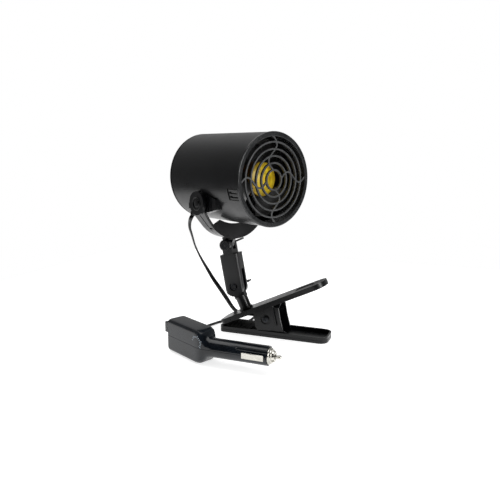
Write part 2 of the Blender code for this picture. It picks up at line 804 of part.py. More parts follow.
# Latch tabs fill the body's windows, each with two grooves
tab_outer = BODY_RADIUS - TAB_RISE
for side in (-1, 1):
    shapes = bmesh.new()
    low = math.asin((window_low + TAB_CLEAR - AXIS_RISE) / tab_outer)
    high = math.asin((window_high - TAB_CLEAR - AXIS_RISE) / tab_outer)
    outer = arc((0, AXIS_RISE), tab_outer, low, high, 4)
    inner = arc((0, AXIS_RISE), skirt_outer - SKIRT_WALL / 2, high, low, 4)
    outline = [(side * y, z) for y, z in outer + inner]
    add_prism(shapes, outline, "X", window_back + TAB_CLEAR,
              window_back + WINDOW_LENGTH - TAB_CLEAR)
    join(front_grille, shapes)
    for row in (-1, 1):
        shapes = bmesh.new()
        drop = WINDOW_DROP - row * TAB_SLOT
        middle = AXIS_RISE - drop
        surface = math.sqrt(tab_outer ** 2 - drop ** 2)
        span = sorted((side * (surface - TAB_SLOT_DEPTH), side * (surface + OVERRUN)))
        add_box(shapes, (window_back + TAB_SLOT, span[0], middle - TAB_SLOT / 2),
                (window_back + WINDOW_LENGTH - TAB_SLOT, span[1], middle + TAB_SLOT / 2))
        cut(front_grille, shapes)

# Rear cover with its spigot, air slots and sunk screw seats
cover_back = -REAR_REACH
spigot_outer = inner_radius - GAP
shapes = bmesh.new()
cover = [(cover_back, 0), (cover_back, BODY_RADIUS - 2 * COVER_ROUND),
         (cover_back + COVER_ROUND / 3, BODY_RADIUS - COVER_ROUND / 2),
         (cover_back + COVER_ROUND, BODY_RADIUS), (cover_back + COVER_EDGE, BODY_RADIUS),
         (cover_back + COVER_EDGE, spigot_outer),
         (cover_back + COVER_THICK + SPIGOT_DEPTH, spigot_outer),
         (cover_back + COVER_THICK + SPIGOT_DEPTH, spigot_outer - SPIGOT_WALL),
         (cover_back + COVER_THICK, spigot_outer - SPIGOT_WALL),
         (cover_back + COVER_THICK, 0)]
add_turned(shapes, cover, ROUND_STEPS, "X", fan_line)
rear_cover = piece("rear_cover", shapes, tilt_axis, SATIN, 0.42)
shapes = bmesh.new()
for i in range(SLOT_COUNT):
    before = set(shapes.verts)
    add_box(shapes, (cover_back - OVERRUN, SLOT_INNER, AXIS_RISE - SLOT_WIDTH / 2),
            (cover_back + COVER_THICK + OVERRUN, SLOT_OUTER, AXIS_RISE + SLOT_WIDTH / 2))
    spin_copies(shapes, before, fan_line, 2 * math.pi * i / SLOT_COUNT)
cut(rear_cover, shapes)
for angle in post_angles:
    seat = cover_back + HEAD_SINK
    shapes = bmesh.new()
    add_turned(shapes, [(cover_back - OVERRUN, 0), (cover_back - OVERRUN, SCREW_HEAD + GAP),
                        (seat, SCREW_HEAD + GAP), (seat, SCREW_RADIUS + GAP),
                        (cover_back + COVER_THICK + OVERRUN, SCREW_RADIUS + GAP),
                        (cover_back + COVER_THICK + OVERRUN, 0)],
               SCREW_STEPS, "X", on_ring(angle, POST_RING))
    cut(rear_cover, shapes)

for name, angle in zip(("rear_screw_upper", "rear_screw_lower"), post_angles):
    seat = cover_back + HEAD_SINK - GAP
    shapes = bmesh.new()
    add_turned(shapes, [(seat - SCREW_HEAD_THICK + GAP, 0),
                        (seat - SCREW_HEAD_THICK + GAP, SCREW_HEAD), (seat, SCREW_HEAD),
                        (seat, SCREW_RADIUS), (cover_back + SCREW_LENGTH, SCREW_RADIUS),
                        (cover_back + SCREW_LENGTH, 0)],
               SCREW_STEPS, "X", on_ring(angle, POST_RING))
    piece(name, shapes, tilt_axis, STEEL, 0.3, 1.0)

# Motor mount: plate, arms and pads against the wall
mount_back = MOTOR_FRONT + GAP
mount_front = mount_back + MOUNT_THICK
pad_outer = inner_radius * math.cos(math.pi / ROUND_STEPS) - GAP
shapes = bmesh.new()
add_rod(shapes, MOUNT_PLATE, mount_back, mount_front, 16, "X", fan_line)
motor_mount = piece("motor_mount", shapes, tilt_axis, BLACK, 0.5)
for i in range(MOUNT_ARMS):
    angle = math.radians(30) + 2 * math.pi * i / MOUNT_ARMS
    shapes = bmesh.new()
    before = set(shapes.verts)
    add_box(shapes, (mount_back + SINK / 2, MOUNT_PLATE / 2, AXIS_RISE - MOUNT_ARM_WIDTH / 2),
            (mount_front - SINK / 2, pad_outer - MOUNT_THICK / 2,
             AXIS_RISE + MOUNT_ARM_WIDTH / 2))
    spin_copies(shapes, before, fan_line, angle)
    join(motor_mount, shapes)
    shapes = bmesh.new()
    half = MOUNT_PAD_WIDTH / 2 / pad_outer
    outline = arc((0, AXIS_RISE), pad_outer, angle - half, angle + half, 3)
    outline += arc((0, AXIS_RISE), pad_outer - MOUNT_THICK, angle + half, angle - half, 3)
    add_prism(shapes, outline, "X", mount_front - MOUNT_PAD_LENGTH, mount_front)
    join(motor_mount, shapes)
shapes = bmesh.new()
add_rod(shapes, NECK_RADIUS + GAP, mount_back - OVERRUN, mount_front + OVERRUN, MOTOR_STEPS,
        "X", fan_line)
screw_places = [(0, side * MOTOR_SCREW_RING, AXIS_RISE) for side in (-1, 1)]
for place in screw_places:
    add_rod(shapes, SCREW_RADIUS + GAP, mount_back - OVERRUN, mount_front + OVERRUN, 10,
            "X", place)
cut(motor_mount, shapes)

# Motor can, open at the back, with a bearing neck
can_back = MOTOR_FRONT - MOTOR_LENGTH
can_inner = MOTOR_RADIUS - MOTOR_WALL
neck_front = MOTOR_FRONT + NECK_LENGTH
bore = SHAFT_RADIUS + GAP
shapes = bmesh.new()
can = [(can_back, can_inner), (can_back, MOTOR_RADIUS), (MOTOR_FRONT, MOTOR_RADIUS),
       (MOTOR_FRONT, NECK_RADIUS), (neck_front, NECK_RADIUS), (neck_front, bore),
       (MOTOR_FRONT - MOTOR_WALL, bore), (MOTOR_FRONT - MOTOR_WALL, can_inner)]
add_turned(shapes, can, MOTOR_STEPS, "X", fan_line, closed=True)
motor_can = piece("motor_can", shapes, tilt_axis, STEEL, 0.35, 1.0)
shapes = bmesh.new()
for place in screw_places:
    add_rod(shapes, SCREW_RADIUS + GAP, MOTOR_FRONT - MOTOR_WALL - OVERRUN,
            MOTOR_FRONT + OVERRUN, SCREW_STEPS, "X", place)
cut(motor_can, shapes)

sides = (("near", -1), ("far", 1))
for (name, side), place in zip(sides, screw_places):
    seat = mount_front + GAP
    shapes = bmesh.new()
    add_turned(shapes, [(seat + SCREW_HEAD_THICK, 0), (seat + SCREW_HEAD_THICK, SCREW_HEAD),
                        (seat, SCREW_HEAD), (seat, SCREW_RADIUS),
                        (seat - MOTOR_SCREW_LENGTH, SCREW_RADIUS),
                        (seat - MOTOR_SCREW_LENGTH, 0)], SCREW_STEPS, "X", place)
    piece("motor_screw_" + name, shapes, tilt_axis, STEEL, 0.3, 1.0)

cap_back = can_back - GAP - END_CAP_FLANGE
cap_face = can_back - GAP + END_CAP_PLUG
shapes = bmesh.new()
cap = [(cap_back, bore), (cap_back, MOTOR_RADIUS), (can_back - GAP, MOTOR_RADIUS),
       (can_back - GAP, can_inner - GAP), (cap_face, can_inner - GAP), (cap_face, bore)]
add_turned(shapes, cap, MOTOR_STEPS, "X", fan_line, closed=True)
motor_end_cap = piece("motor_end_cap", shapes, tilt_axis, IVORY, 0.5)
shapes = bmesh.new()
for side in (-1, 1):
    edge = sorted((side * (TERMINAL_SPREAD - TERMINAL_THICK / 2 - GAP),
                   side * (TERMINAL_SPREAD + TERMINAL_THICK / 2 + GAP)))
    add_box(shapes, (cap_back - OVERRUN, edge[0], AXIS_RISE - TERMINAL_WIDTH / 2 - GAP),
            (cap_face + OVERRUN, edge[1], AXIS_RISE + TERMINAL_WIDTH / 2 + GAP))
cut(motor_end_cap, shapes)

for name, side in sides:
    edge = sorted((side * (TERMINAL_SPREAD - TERMINAL_THICK / 2),
                   side * (TERMINAL_SPREAD + TERMINAL_THICK / 2)))
    shapes = bmesh.new()
    add_box(shapes, (cap_back - TERMINAL_REACH, edge[0], AXIS_RISE - TERMINAL_WIDTH / 2),
            (cap_face, edge[1], AXIS_RISE + TERMINAL_WIDTH / 2))
    piece("motor_terminal_" + name, shapes, tilt_axis, BRASS, 0.3, 1.0, smooth=False)
    edge = sorted((side * (COMMUTATOR_RADIUS + GAP), side * BRUSH_OUTER))
    shapes = bmesh.new()
    add_box(shapes, (cap_face + GAP, edge[0], AXIS_RISE - BRUSH_WIDTH / 2),
            (cap_face + GAP + BRUSH_LENGTH, edge[1], AXIS_RISE + BRUSH_WIDTH / 2))
    piece("motor_brush_" + name, shapes, tilt_axis, BLACK, 0.6, smooth=False)

magnet_outer = can_inner * math.cos(math.pi / MOTOR_STEPS) - GAP
shapes = bmesh.new()
outline = arc((0, AXIS_RISE), magnet_outer, -MAGNET_SWEEP / 2, MAGNET_SWEEP / 2, 15)
outline += arc((0, AXIS_RISE), magnet_outer - MAGNET_THICK, MAGNET_SWEEP / 2,
               -MAGNET_SWEEP / 2, 15)
add_prism(shapes, outline, "X", can_back + MAGNET_START,
          can_back + MAGNET_START + MAGNET_LENGTH)
piece("motor_magnet", shapes, tilt_axis, BLACK, 0.6)

# Turning pieces: armature, shaft and rotor share the rotor axis
hub_face = FRONT_REACH - HUB_FRONT
rotor_axis = axis_empty("rotor_axis", tilt_axis, (hub_face, 0, AXIS_RISE))
armature_back = can_back + ARMATURE_START - hub_face
armature_front = armature_back + ARMATURE_LENGTH
commutator_back = cap_face + GAP + GAP - hub_face
shapes = bmesh.new()
armature = [(commutator_back, bore), (commutator_back, COMMUTATOR_RADIUS),
            (armature_back - WINDING_LENGTH, COMMUTATOR_RADIUS),
            (armature_back - WINDING_LENGTH, ARMATURE_RADIUS - WINDING_LENGTH),
            (armature_back, ARMATURE_RADIUS), (armature_front, ARMATURE_RADIUS),
            (armature_front + WINDING_LENGTH, ARMATURE_RADIUS - WINDING_LENGTH),
            (armature_front + WINDING_LENGTH, bore)]
add_turned(shapes, armature, 12, "X", (0, 0, 0), closed=True)
armature_piece = piece("armature", shapes, rotor_axis, COPPER, 0.4, 0.8)
shapes = bmesh.new()
for i in range(POLE_COUNT):
    before = set(shapes.verts)
    add_box(shapes, (armature_back - WINDING_LENGTH - OVERRUN, ARMATURE_HUB, -POLE_SLOT / 2),
            (armature_front + WINDING_LENGTH + OVERRUN, ARMATURE_RADIUS + OVERRUN,
             POLE_SLOT / 2))
    spin_copies(shapes, before, (0, 0, 0), 2 * math.pi * i / POLE_COUNT)
cut(armature_piece, shapes)

shaft_front = -HUB_DOME - HUB_WALL
shaft_back = cap_back - hub_face - GAP
shapes = bmesh.new()
add_rod(shapes, SHAFT_RADIUS, shaft_back, shaft_front - GAP, 12)
piece("motor_shaft", shapes, rotor_axis, STEEL, 0.2, 1.0)

# Rotor: a domed cup, a bore boss and three wide blades
hub_back = -HUB_DEPTH
shapes = bmesh.new()
hub = [(0, 0), (-HUB_DOME / 4, HUB_RADIUS * 0.55), (-HUB_DOME, HUB_RADIUS - HUB_DOME / 3),
       (-HUB_DOME * 1.5, HUB_RADIUS), (hub_back, HUB_RADIUS),
       (hub_back, HUB_RADIUS - HUB_WALL), (-HUB_DOME - HUB_WALL, HUB_RADIUS - HUB_WALL),
       (-HUB_DOME - HUB_WALL, HUB_BORE_BOSS),
       (hub_back + HUB_WALL, HUB_BORE_BOSS), (hub_back + HUB_WALL, bore),
       (shaft_front, bore), (shaft_front, 0)]
add_turned(shapes, hub, 20)
fan_rotor = piece("fan_rotor", shapes, rotor_axis, YELLOW, 0.4)


def add_blade(shapes, middle_angle):
    # Two offset sheets of a cambered, twisted blade, closed round the rim.
    root = HUB_RADIUS - HUB_WALL / 2
    sheets = []
    for offset in (-BLADE_THICK / 2, BLADE_THICK / 2):
        rows = []
        for i in range(BLADE_SPANS + 1):
            span = i / BLADE_SPANS
            radius = root + (BLADE_TIP - root) * span
            sweep = BLADE_ROOT_SWEEP + (BLADE_TIP_SWEEP - BLADE_ROOT_SWEEP) * span
            row = []
            for k in range(BLADE_CHORDS + 1):
                chord = k / BLADE_CHORDS
                edge = 1 - 0.10 * (2 * chord - 1) ** 4 * span
                angle = middle_angle + BLADE_LEAN * span + (chord - 0.5) * sweep
                along = -HUB_DEPTH / 2 + (chord - 0.5) * BLADE_DEPTH
                along += BLADE_CAMBER * math.sin(math.pi * chord)
                reach = root + (radius - root) * edge
                row.append(shapes.verts.new((along + offset, reach * math.cos(angle),
                                             reach * math.sin(angle))))
            rows.append(row)
        sheets.append(rows)
    low, high = sheets
    for i in range(BLADE_SPANS):
        for k in range(BLADE_CHORDS):
            for rows in sheets:
                shapes.faces.new((rows[i][k], rows[i][k + 1], rows[i + 1][k + 1],
                                  rows[i + 1][k]))
    for i in range(BLADE_SPANS):
        for k in (0, BLADE_CHORDS):
            shapes.faces.new((low[i][k], low[i + 1][k], high[i + 1][k], high[i][k]))
    for k in range(BLADE_CHORDS):
        for i in (0, BLADE_SPANS):
            shapes.faces.new((low[i][k], low[i][k + 1], high[i][k + 1], high[i][k]))


for i in range(BLADE_COUNT):
    shapes = bmesh.new()
    add_blade(shapes, math.pi + 2 * math.pi * i / BLADE_COUNT)
    join(fan_rotor, shapes)

# Gland: flange and taper outside, neck through the wall, bore for the wires
gland_end = BODY_RADIUS + GLAND_REACH
shapes = bmesh.new()
gland_bore = WIRE_RADIUS * 2.6
gland = [(gland_end - GLAND_FLANGE_THICK, 0), (gland_end - GLAND_FLANGE_THICK, gland_bore),
         (inner_radius - GLAND_INSIDE, gland_bore),
         (inner_radius - GLAND_INSIDE, GLAND_NECK), (BODY_RADIUS + GAP, GLAND_NECK),
         (BODY_RADIUS + GAP, GLAND_FLANGE),
         (BODY_RADIUS + GAP + GLAND_FLANGE_THICK, GLAND_FLANGE),
         (gland_end, GLAND_TIP), (gland_end, 0)]
add_turned(shapes, gland, 12, "Z")
piece("cord_gland", put(shapes, gland_place), tilt_axis, RUBBER, 0.6)

# Two thin leads from the terminals to the gland's bore
wire_end = Vector((-GLAND_BACK, 0, AXIS_RISE)) + gland_line * (inner_radius - GLAND_INSIDE - GAP)
for name, side in sides:
    start = Vector((cap_back - TERMINAL_REACH - GAP, side * TERMINAL_SPREAD, AXIS_RISE))
    finish = wire_end + Vector((side * WIRE_RADIUS * 1.5, 0, 0))
    route = [start, start - Vector((TERMINAL_REACH, 0, 0)),
             (start * 0.5 + finish * 0.5) + Vector((side * WIRE_RADIUS * 4, 0, 0)),
             finish - gland_line * GLAND_REACH, finish]
    add_tube_curve("lead_wire_" + name, smooth_route(route, CORD_STEP), WIRE_RADIUS,
                   tilt_axis, 1, RED, 0.5)

# Pivot screws and washers on the lugs
ear_inner = EAR_OUTER - EAR_THICK
cap_seat = EAR_OUTER - CAP_SINK
for name, side in sides:
    ends = sorted((side * (LUG_FACE + GAP), side * (ear_inner - GAP)))
    shapes = bmesh.new()
    add_tube(shapes, WASHER_RADIUS, PIVOT_RADIUS + GAP, *ends, 12, "Y")
    piece("pivot_washer_" + name, shapes, tilt_axis, BLACK, 0.4)
    seat = cap_seat + GAP
    profile = [(side * (seat + PIVOT_HEAD_THICK), 0),
               (side * (seat + PIVOT_HEAD_THICK), PIVOT_HEAD), (side * seat, PIVOT_HEAD),
               (side * seat, PIVOT_RADIUS), (side * (seat - PIVOT_REACH), PIVOT_RADIUS),
               (side * (seat - PIVOT_REACH), 0)]
    shapes = bmesh.new()
    add_turned(shapes, profile, 10, "Y")
    piece("pivot_screw_" + name, shapes, tilt_axis, STEEL, 0.3, 1.0)

# Yoke: strap, web, ears and the swivel boss, in the pan frame
arc_centre = EAR_RISE + AXIS_RISE - YOKE_DROP
yoke_inner = YOKE_RADIUS - YOKE_THICK
arm_start = -math.pi / 2 + YOKE_ARC
arm_foot = Vector((YOKE_RADIUS * math.cos(arm_start),
                   arc_centre + YOKE_RADIUS * math.sin(arm_start)))
arm_line = Vector((-math.sin(arm_start), math.cos(arm_start)))
arm_run = (EAR_OUTER - arm_foot.x) / arm_line.x
arm_top = arm_foot + arm_line * arm_run
inner_foot = Vector((yoke_inner * math.cos(arm_start),
                     arc_centre + yoke_inner * math.sin(arm_start)))
inner_run = (ear_inner - inner_foot.x) / arm_line.x
inner_top = inner_foot + arm_line * inner_run
right_side = [tuple(arm_top), (EAR_OUTER, EAR_RISE), (ear_inner, EAR_RISE), tuple(inner_top)]
left_side = [(-y, z) for y, z in right_side]
outer_arc = arc((0, arc_centre), YOKE_RADIUS, -math.pi - arm_start, arm_start, 20)
inner_arc = arc((0, arc_centre), yoke_inner, arm_start, -math.pi - arm_start, 20)
outline = outer_arc + right_side + inner_arc + left_side[::-1]
shapes = bmesh.new()
add_prism(shapes, outline, "X", -YOKE_REAR, YOKE_FRONT)
yoke = piece("yoke", shapes, pan_axis, BLACK, 0.42)

# The strap widens forward under the body, up to the web
shapes = bmesh.new()
wide = math.radians(44)
outline = arc((0, arc_centre), YOKE_RADIUS - SINK / 4, -math.pi / 2 - wide,
              -math.pi / 2 + wide, 16)
outline += arc((0, arc_centre), yoke_inner + SINK / 4, -math.pi / 2 + wide,
               -math.pi / 2 - wide, 16)
add_prism(shapes, outline, "X", YOKE_FRONT - OVERRUN, WEB_FRONT)
join(yoke, shapes)
shapes = bmesh.new()
web_top = BODY_RADIUS + WEB_GAP
head_centre = EAR_RISE + AXIS_RISE
shoulder = math.asin(WEB_SHOULDER / web_top)
outline = arc((0, head_centre), web_top, -math.pi / 2 + shoulder,
              -math.pi / 2 - shoulder, 8)
tip = math.asin(WEB_HALF / (YOKE_RADIUS - SINK / 2))
outline += arc((0, arc_centre), YOKE_RADIUS - SINK / 2, -math.pi / 2 - tip,
               -math.pi / 2 + tip, 12)
add_prism(shapes, outline, "X", WEB_FRONT - WEB_THICK, WEB_FRONT - SINK / 3)
join(yoke, shapes)

for side in (-1, 1):
    shapes = bmesh.new()
    ends = sorted((side * ear_inner, side * EAR_OUTER))
    add_rod(shapes, EAR_RADIUS, *ends, 20, "Y", (EAR_FORWARD, 0, EAR_RISE))
    join(yoke, shapes)
yoke_low = arc_centre - YOKE_RADIUS
boss_top = arc_centre - math.sqrt(yoke_inner ** 2 - SWIVEL_BOSS ** 2) + SINK
shapes = bmesh.new()
add_rod(shapes, SWIVEL_BOSS, yoke_low - SINK / 4, boss_top, 16, "Z")
join(yoke, shapes)
shapes = bmesh.new()
add_rod(shapes, SWIVEL_SPIGOT + GAP, yoke_low - OVERRUN, boss_top + OVERRUN, 16, "Z")
cut(yoke, shapes)
for side in (-1, 1):
    shapes = bmesh.new()
    place = (EAR_FORWARD, 0, EAR_RISE)
    profile = [(side * (ear_inner - OVERRUN), 0),
               (side * (ear_inner - OVERRUN), PIVOT_RADIUS + GAP),
               (side * cap_seat, PIVOT_RADIUS + GAP), (side * cap_seat, CAP_RADIUS + GAP),
               (side * (EAR_OUTER + OVERRUN), CAP_RADIUS + GAP),
               (side * (EAR_OUTER + OVERRUN), 0)]
    add_turned(shapes, profile, 16, "Y", place)
    cut(yoke, shapes)

for name, side in sides:
    low = cap_seat + GAP
    top = EAR_OUTER + CAP_DOME
    hollow = cap_seat + GAP + PIVOT_HEAD_THICK + GAP + GAP
    profile = [(side * low, PIVOT_HEAD + GAP + GAP), (side * low, CAP_RADIUS),
               (side * (top - CAP_DOME), CAP_RADIUS),
               (side * top, CAP_RADIUS - CAP_THICK), (side * top, 0),
               (side * hollow, 0), (side * hollow, PIVOT_HEAD + GAP + GAP)]
    shapes = bmesh.new()
    profile = [(side * hollow, 0), (side * hollow, PIVOT_HEAD + GAP + GAP)] + profile[:-2]
    add_turned(shapes, profile, 16, "Y", (EAR_FORWARD, 0, EAR_RISE))
    piece("ear_cap_" + name, shapes, pan_axis, BLACK, 0.35)

# Knuckle head: tab, flared neck, collar under the yoke and the swivel spigot
collar_top = yoke_low - SINK / 4 - GAP
collar_low = collar_top - COLLAR_THICK
spigot_top = boss_top + GAP
shapes = bmesh.new()
low_end = arc((0, 0), UPPER_TAB_END, math.pi, 2 * math.pi, 10)
flare = [(UPPER_TAB_WIDTH / 2, 0.0), (UPPER_TAB_WIDTH / 2, collar_low * 0.35),
         (UPPER_TAB_WIDTH / 2 + SINK, collar_low * 0.7),
         (SWIVEL_BOSS - SINK, collar_low + SINK / 2)]
outline = low_end + flare + [(-x, z) for x, z in flare[::-1]]
add_prism(shapes, outline, "Y", -TAB_THICK / 2, TAB_THICK / 2)
knuckle_head = piece("knuckle_head", shapes, upper_knuckle_axis, BLACK, 0.42)
shapes = bmesh.new()
add_turned(shapes, [(collar_low, 0), (collar_low, SWIVEL_BOSS), (collar_top, SWIVEL_BOSS),
                    (collar_top, SWIVEL_SPIGOT), (spigot_top, SWIVEL_SPIGOT),
                    (spigot_top, 0)], 16, "Z")
join(knuckle_head, shapes)
shapes = bmesh.new()
add_rod(shapes, SWIVEL_SCREW_RADIUS + GAP, spigot_top - SWIVEL_SCREW_LENGTH - GAP,
        spigot_top + OVERRUN, 12, "Z")
cut(knuckle_head, shapes)
shapes = bmesh.new()
add_rod(shapes, BOLT_RADIUS + GAP, -TAB_THICK, TAB_THICK, 10, "Y")
cut(knuckle_head, shapes)
shapes = bmesh.new()
seat = spigot_top + GAP
add_turned(shapes, [(seat + SWIVEL_SCREW_THICK, 0), (seat + SWIVEL_SCREW_THICK, SWIVEL_SCREW_HEAD),
                    (seat, SWIVEL_SCREW_HEAD), (seat, SWIVEL_SCREW_RADIUS),
                    (spigot_top - SWIVEL_SCREW_LENGTH, SWIVEL_SCREW_RADIUS),
                    (spigot_top - SWIVEL_SCREW_LENGTH, 0)], 16, "Z")
piece("swivel_screw", shapes, upper_knuckle_axis, STEEL, 0.3, 1.0)

# Stem: a rounded column with a pair of ears at each end
slot_half = TAB_THICK / 2 + GAP
shapes = bmesh.new()
half = STEM_WIDTH / 2
column = rounded([(-half, -STEM_DEPTH / 2), (half, -STEM_DEPTH / 2),
                  (half, STEM_DEPTH / 2), (-half, STEM_DEPTH / 2)], [STEM_CORNER] * 4, 3)
add_prism(shapes, column, "Z", -LOWER_EAR_END - OVERRUN, STEM_LENGTH - STEM_TOP)
stem = piece("stem", shapes, lower_knuckle_axis, BLACK, 0.40)
shapes = bmesh.new()
profile = arc((0, 0), LOWER_EAR_END, math.pi, 2 * math.pi, 10)
profile += [(half + OVERRUN, 0), (half + OVERRUN, STEM_LENGTH),
            (-half - OVERRUN, STEM_LENGTH), (-half - OVERRUN, 0)]
add_prism(shapes, profile, "Y", -STEM_DEPTH, STEM_DEPTH)
keep(stem, shapes)
# The upper ears: a fork cut to the ears' rounded outline
fork_half = STEM_DEPTH / 2 - SINK
fork_floor = STEM_LENGTH - UPPER_TAB_END - RUN - SINK
fork_low = STEM_LENGTH - STEM_TOP - SINK
fork_top = STEM_LENGTH + UPPER_EAR_END + OVERRUN
shapes = bmesh.new()
fork = [(-fork_half, fork_low), (fork_half, fork_low), (fork_half, fork_top),
        (slot_half, fork_top), (slot_half, fork_floor), (-slot_half, fork_floor),
        (-slot_half, fork_top), (-fork_half, fork_top)]
add_prism(shapes, fork, "X", -STEM_WIDTH, STEM_WIDTH)
ears = piece("ears", shapes, lower_knuckle_axis, BLACK, 0.40)
shapes = bmesh.new()
ear = arc((0, STEM_LENGTH), UPPER_EAR_END, 0, math.pi, 10)
ear = [(UPPER_EAR_WIDTH / 2, fork_low - OVERRUN)] + ear
ear += [(-UPPER_EAR_WIDTH / 2, fork_low - OVERRUN)]
add_prism(shapes, ear, "Y", -STEM_DEPTH, STEM_DEPTH)
keep(ears, shapes)
shapes = bmesh.new()
shapes.from_mesh(ears.data)
bpy.data.objects.remove(ears, do_unlink=True)
join(stem, shapes)
boss_face = STEM_DEPTH / 2 + NUT_BOSS_REACH
shapes = bmesh.new()
add_rod(shapes, NUT_BOSS_RADIUS, -boss_face, -slot_half - SINK, 14, "Y",
        (0, 0, STEM_LENGTH))
join(stem, shapes)
shapes = bmesh.new()
lower_slot_top = POST_TAB_END + RUN + SINK
add_box(shapes, (-STEM_WIDTH, -slot_half, -STEM_WIDTH),
        (STEM_WIDTH, slot_half, lower_slot_top))
cut(stem, shapes)
shapes = bmesh.new()
add_box(shapes, (STEM_CORNER, -slot_half + SINK / 2, lower_slot_top - OVERRUN),
        (STEM_WIDTH, slot_half - SINK / 2, LOWER_SLOT_TOP))
cut(stem, shapes)
shapes = bmesh.new()
add_rod(shapes, BOLT_RADIUS + GAP, -STEM_WIDTH, STEM_WIDTH, 10, "Y")
add_rod(shapes, BOLT_RADIUS + GAP, -STEM_WIDTH, STEM_WIDTH, 10, "Y", (0, 0, STEM_LENGTH))
cut(stem, shapes)

# Nuts sit in hexagonal pockets on the near side
nut_corner = NUT_ACROSS / 2 / math.cos(math.radians(30))
pocket = nut_corner + GAP / math.cos(math.radians(30))
upper_nut_face = -boss_face + GAP
lower_nut_face = -STEM_DEPTH / 2 + GAP
for centre_z, face in ((STEM_LENGTH, upper_nut_face), (0, lower_nut_face)):
    shapes = bmesh.new()
    add_rod(shapes, pocket, face - OVERRUN, face + NUT_THICK + GAP, 6, "Y",
            (0, 0, centre_z))
    cut(stem, shapes)
for name, centre_z, face in (("upper_hex_nut", STEM_LENGTH, upper_nut_face),
                             ("lower_hex_nut", 0, lower_nut_face)):
    shapes = bmesh.new()
    add_rod(shapes, nut_corner, face, face + NUT_THICK, 6, "Y", (0, 0, centre_z))
    nut = piece(name, shapes, lower_knuckle_axis, STEEL, 0.3, 1.0)
    shapes = bmesh.new()
    add_rod(shapes, BOLT_RADIUS + GAP, face - OVERRUN, face + NUT_THICK + OVERRUN, 12,
            "Y", (0, 0, centre_z))
    cut(nut, shapes)


# Wing bolts: shank, hub and a flat wing on the far side
def add_wing_bolt(name, height, turn, near_end):
    carrier = axis_empty(name + "_axis", lower_knuckle_axis, (0, STEM_DEPTH / 2, height),
                         (0, STEM_LEAN - turn, 0))
    hub_low = GAP
    shapes = bmesh.new()
    add_turned(shapes, [(near_end - STEM_DEPTH / 2, 0),
                        (near_end - STEM_DEPTH / 2, BOLT_RADIUS), (hub_low, BOLT_RADIUS),
                        (hub_low, WING_HUB_RADIUS), (WING_HUB_LENGTH, WING_HUB_RADIUS),
                        (WING_HUB_LENGTH, 0)], 12, "Y")
    bolt = piece(name, shapes, carrier, BLACK, 0.4)
    shapes = bmesh.new()
    low = hub_low + SINK
    high = low + WING_LENGTH
    outline = rounded([(-WING_SPAN, low), (WING_SPAN, low), (WING_SPAN, high),
                       (-WING_SPAN, high)], [WING_CORNER] * 4)
    add_prism(shapes, outline, "Z", -WING_THICK / 2, WING_THICK / 2)
    join(bolt, shapes)


add_wing_bolt("upper_wing_bolt", STEM_LENGTH, UPPER_WING_TURN, upper_nut_face)
add_wing_bolt("lower_wing_bolt", 0, LOWER_WING_TURN, lower_nut_face)

# Post on the upper jaw, with the tab that the stem's lower ears hold
foot_low = UPPER_TOP + GAP
shapes = bmesh.new()
place = (KNUCKLE_ALONG, 0, 0)
add_turned(shapes, [(foot_low, 0), (foot_low, POST_FOOT_RADIUS),
                    (foot_low + POST_FOOT_THICK, POST_FOOT_RADIUS),
                    (foot_low + POST_FOOT_THICK, POST_STEM_RADIUS),
                    (KNUCKLE_RISE - POST_SHOULDER, POST_STEM_RADIUS),
                    (KNUCKLE_RISE - POST_SHOULDER, 0)], 20, "Z", place)
post = piece("post", shapes, clip_axis, BLACK, 0.42)
shapes = bmesh.new()
half = POST_TAB_WIDTH / 2 - SINK / 3
tab = [(KNUCKLE_ALONG - half, KNUCKLE_RISE - POST_SHOULDER - OVERRUN),
       (KNUCKLE_ALONG + half, KNUCKLE_RISE - POST_SHOULDER - OVERRUN)]
tab += arc((KNUCKLE_ALONG, KNUCKLE_RISE), half, 0, math.pi, 12)
add_prism(shapes, tab, "Y", -TAB_THICK / 2, TAB_THICK / 2)
join(post, shapes)
shapes = bmesh.new()
add_rod(shapes, BOLT_RADIUS + GAP, -TAB_THICK, TAB_THICK, 10, "Y",
        (KNUCKLE_ALONG, 0, KNUCKLE_RISE))
cut(post, shapes)
plate_low = UPPER_TOP - UPPER_PLATE
screw_seat = plate_low - GAP
screw_end = screw_seat + POST_SCREW_LENGTH
shapes = bmesh.new()
add_rod(shapes, POST_SCREW_RADIUS + GAP, foot_low - OVERRUN, screw_end + GAP, 10, "Z", place)
cut(post, shapes)
shapes = bmesh.new()
add_turned(shapes, [(screw_seat - POST_SCREW_THICK, 0),
                    (screw_seat - POST_SCREW_THICK, POST_SCREW_HEAD),
                    (screw_seat, POST_SCREW_HEAD), (screw_seat, POST_SCREW_RADIUS),
                    (screw_end, POST_SCREW_RADIUS), (screw_end, 0)], 10, "Z", place)
piece("post_screw", shapes, clip_axis, STEEL, 0.3, 1.0)

# Upper jaw: a shallow channel with a thumb hollow and two outer cheeks
shapes = bmesh.new()
outline = plate_outline(-UPPER_NOSE, UPPER_HANDLE, JAW_HALF, UPPER_NOSE_CORNER,
                        UPPER_HANDLE_CORNER)
add_prism(shapes, outline, "Z", UPPER_TOP - UPPER_SKIRT, UPPER_TOP)
upper_jaw = piece("upper_jaw", shapes, clip_axis, BLACK, 0.38)
for side in (-1, 1):
    shapes = bmesh.new()
    outline = [(JAW_HALF * a, JAW_HALF * b) for a, b in CHEEK_SHARES]
    ends = sorted((side * (JAW_HALF - CHEEK_THICK), side * (JAW_HALF - SINK / 4)))
    add_prism(shapes, outline, "Y", *ends)
    join(upper_jaw, shapes)
shapes = bmesh.new()
outline = plate_outline(-UPPER_NOSE, UPPER_HANDLE, JAW_HALF, UPPER_NOSE_CORNER,
                        UPPER_HANDLE_CORNER, CHEEK_THICK)
add_prism(shapes, outline, "Z", UPPER_TOP - UPPER_SKIRT - OVERRUN, plate_low)
cut(upper_jaw, shapes)
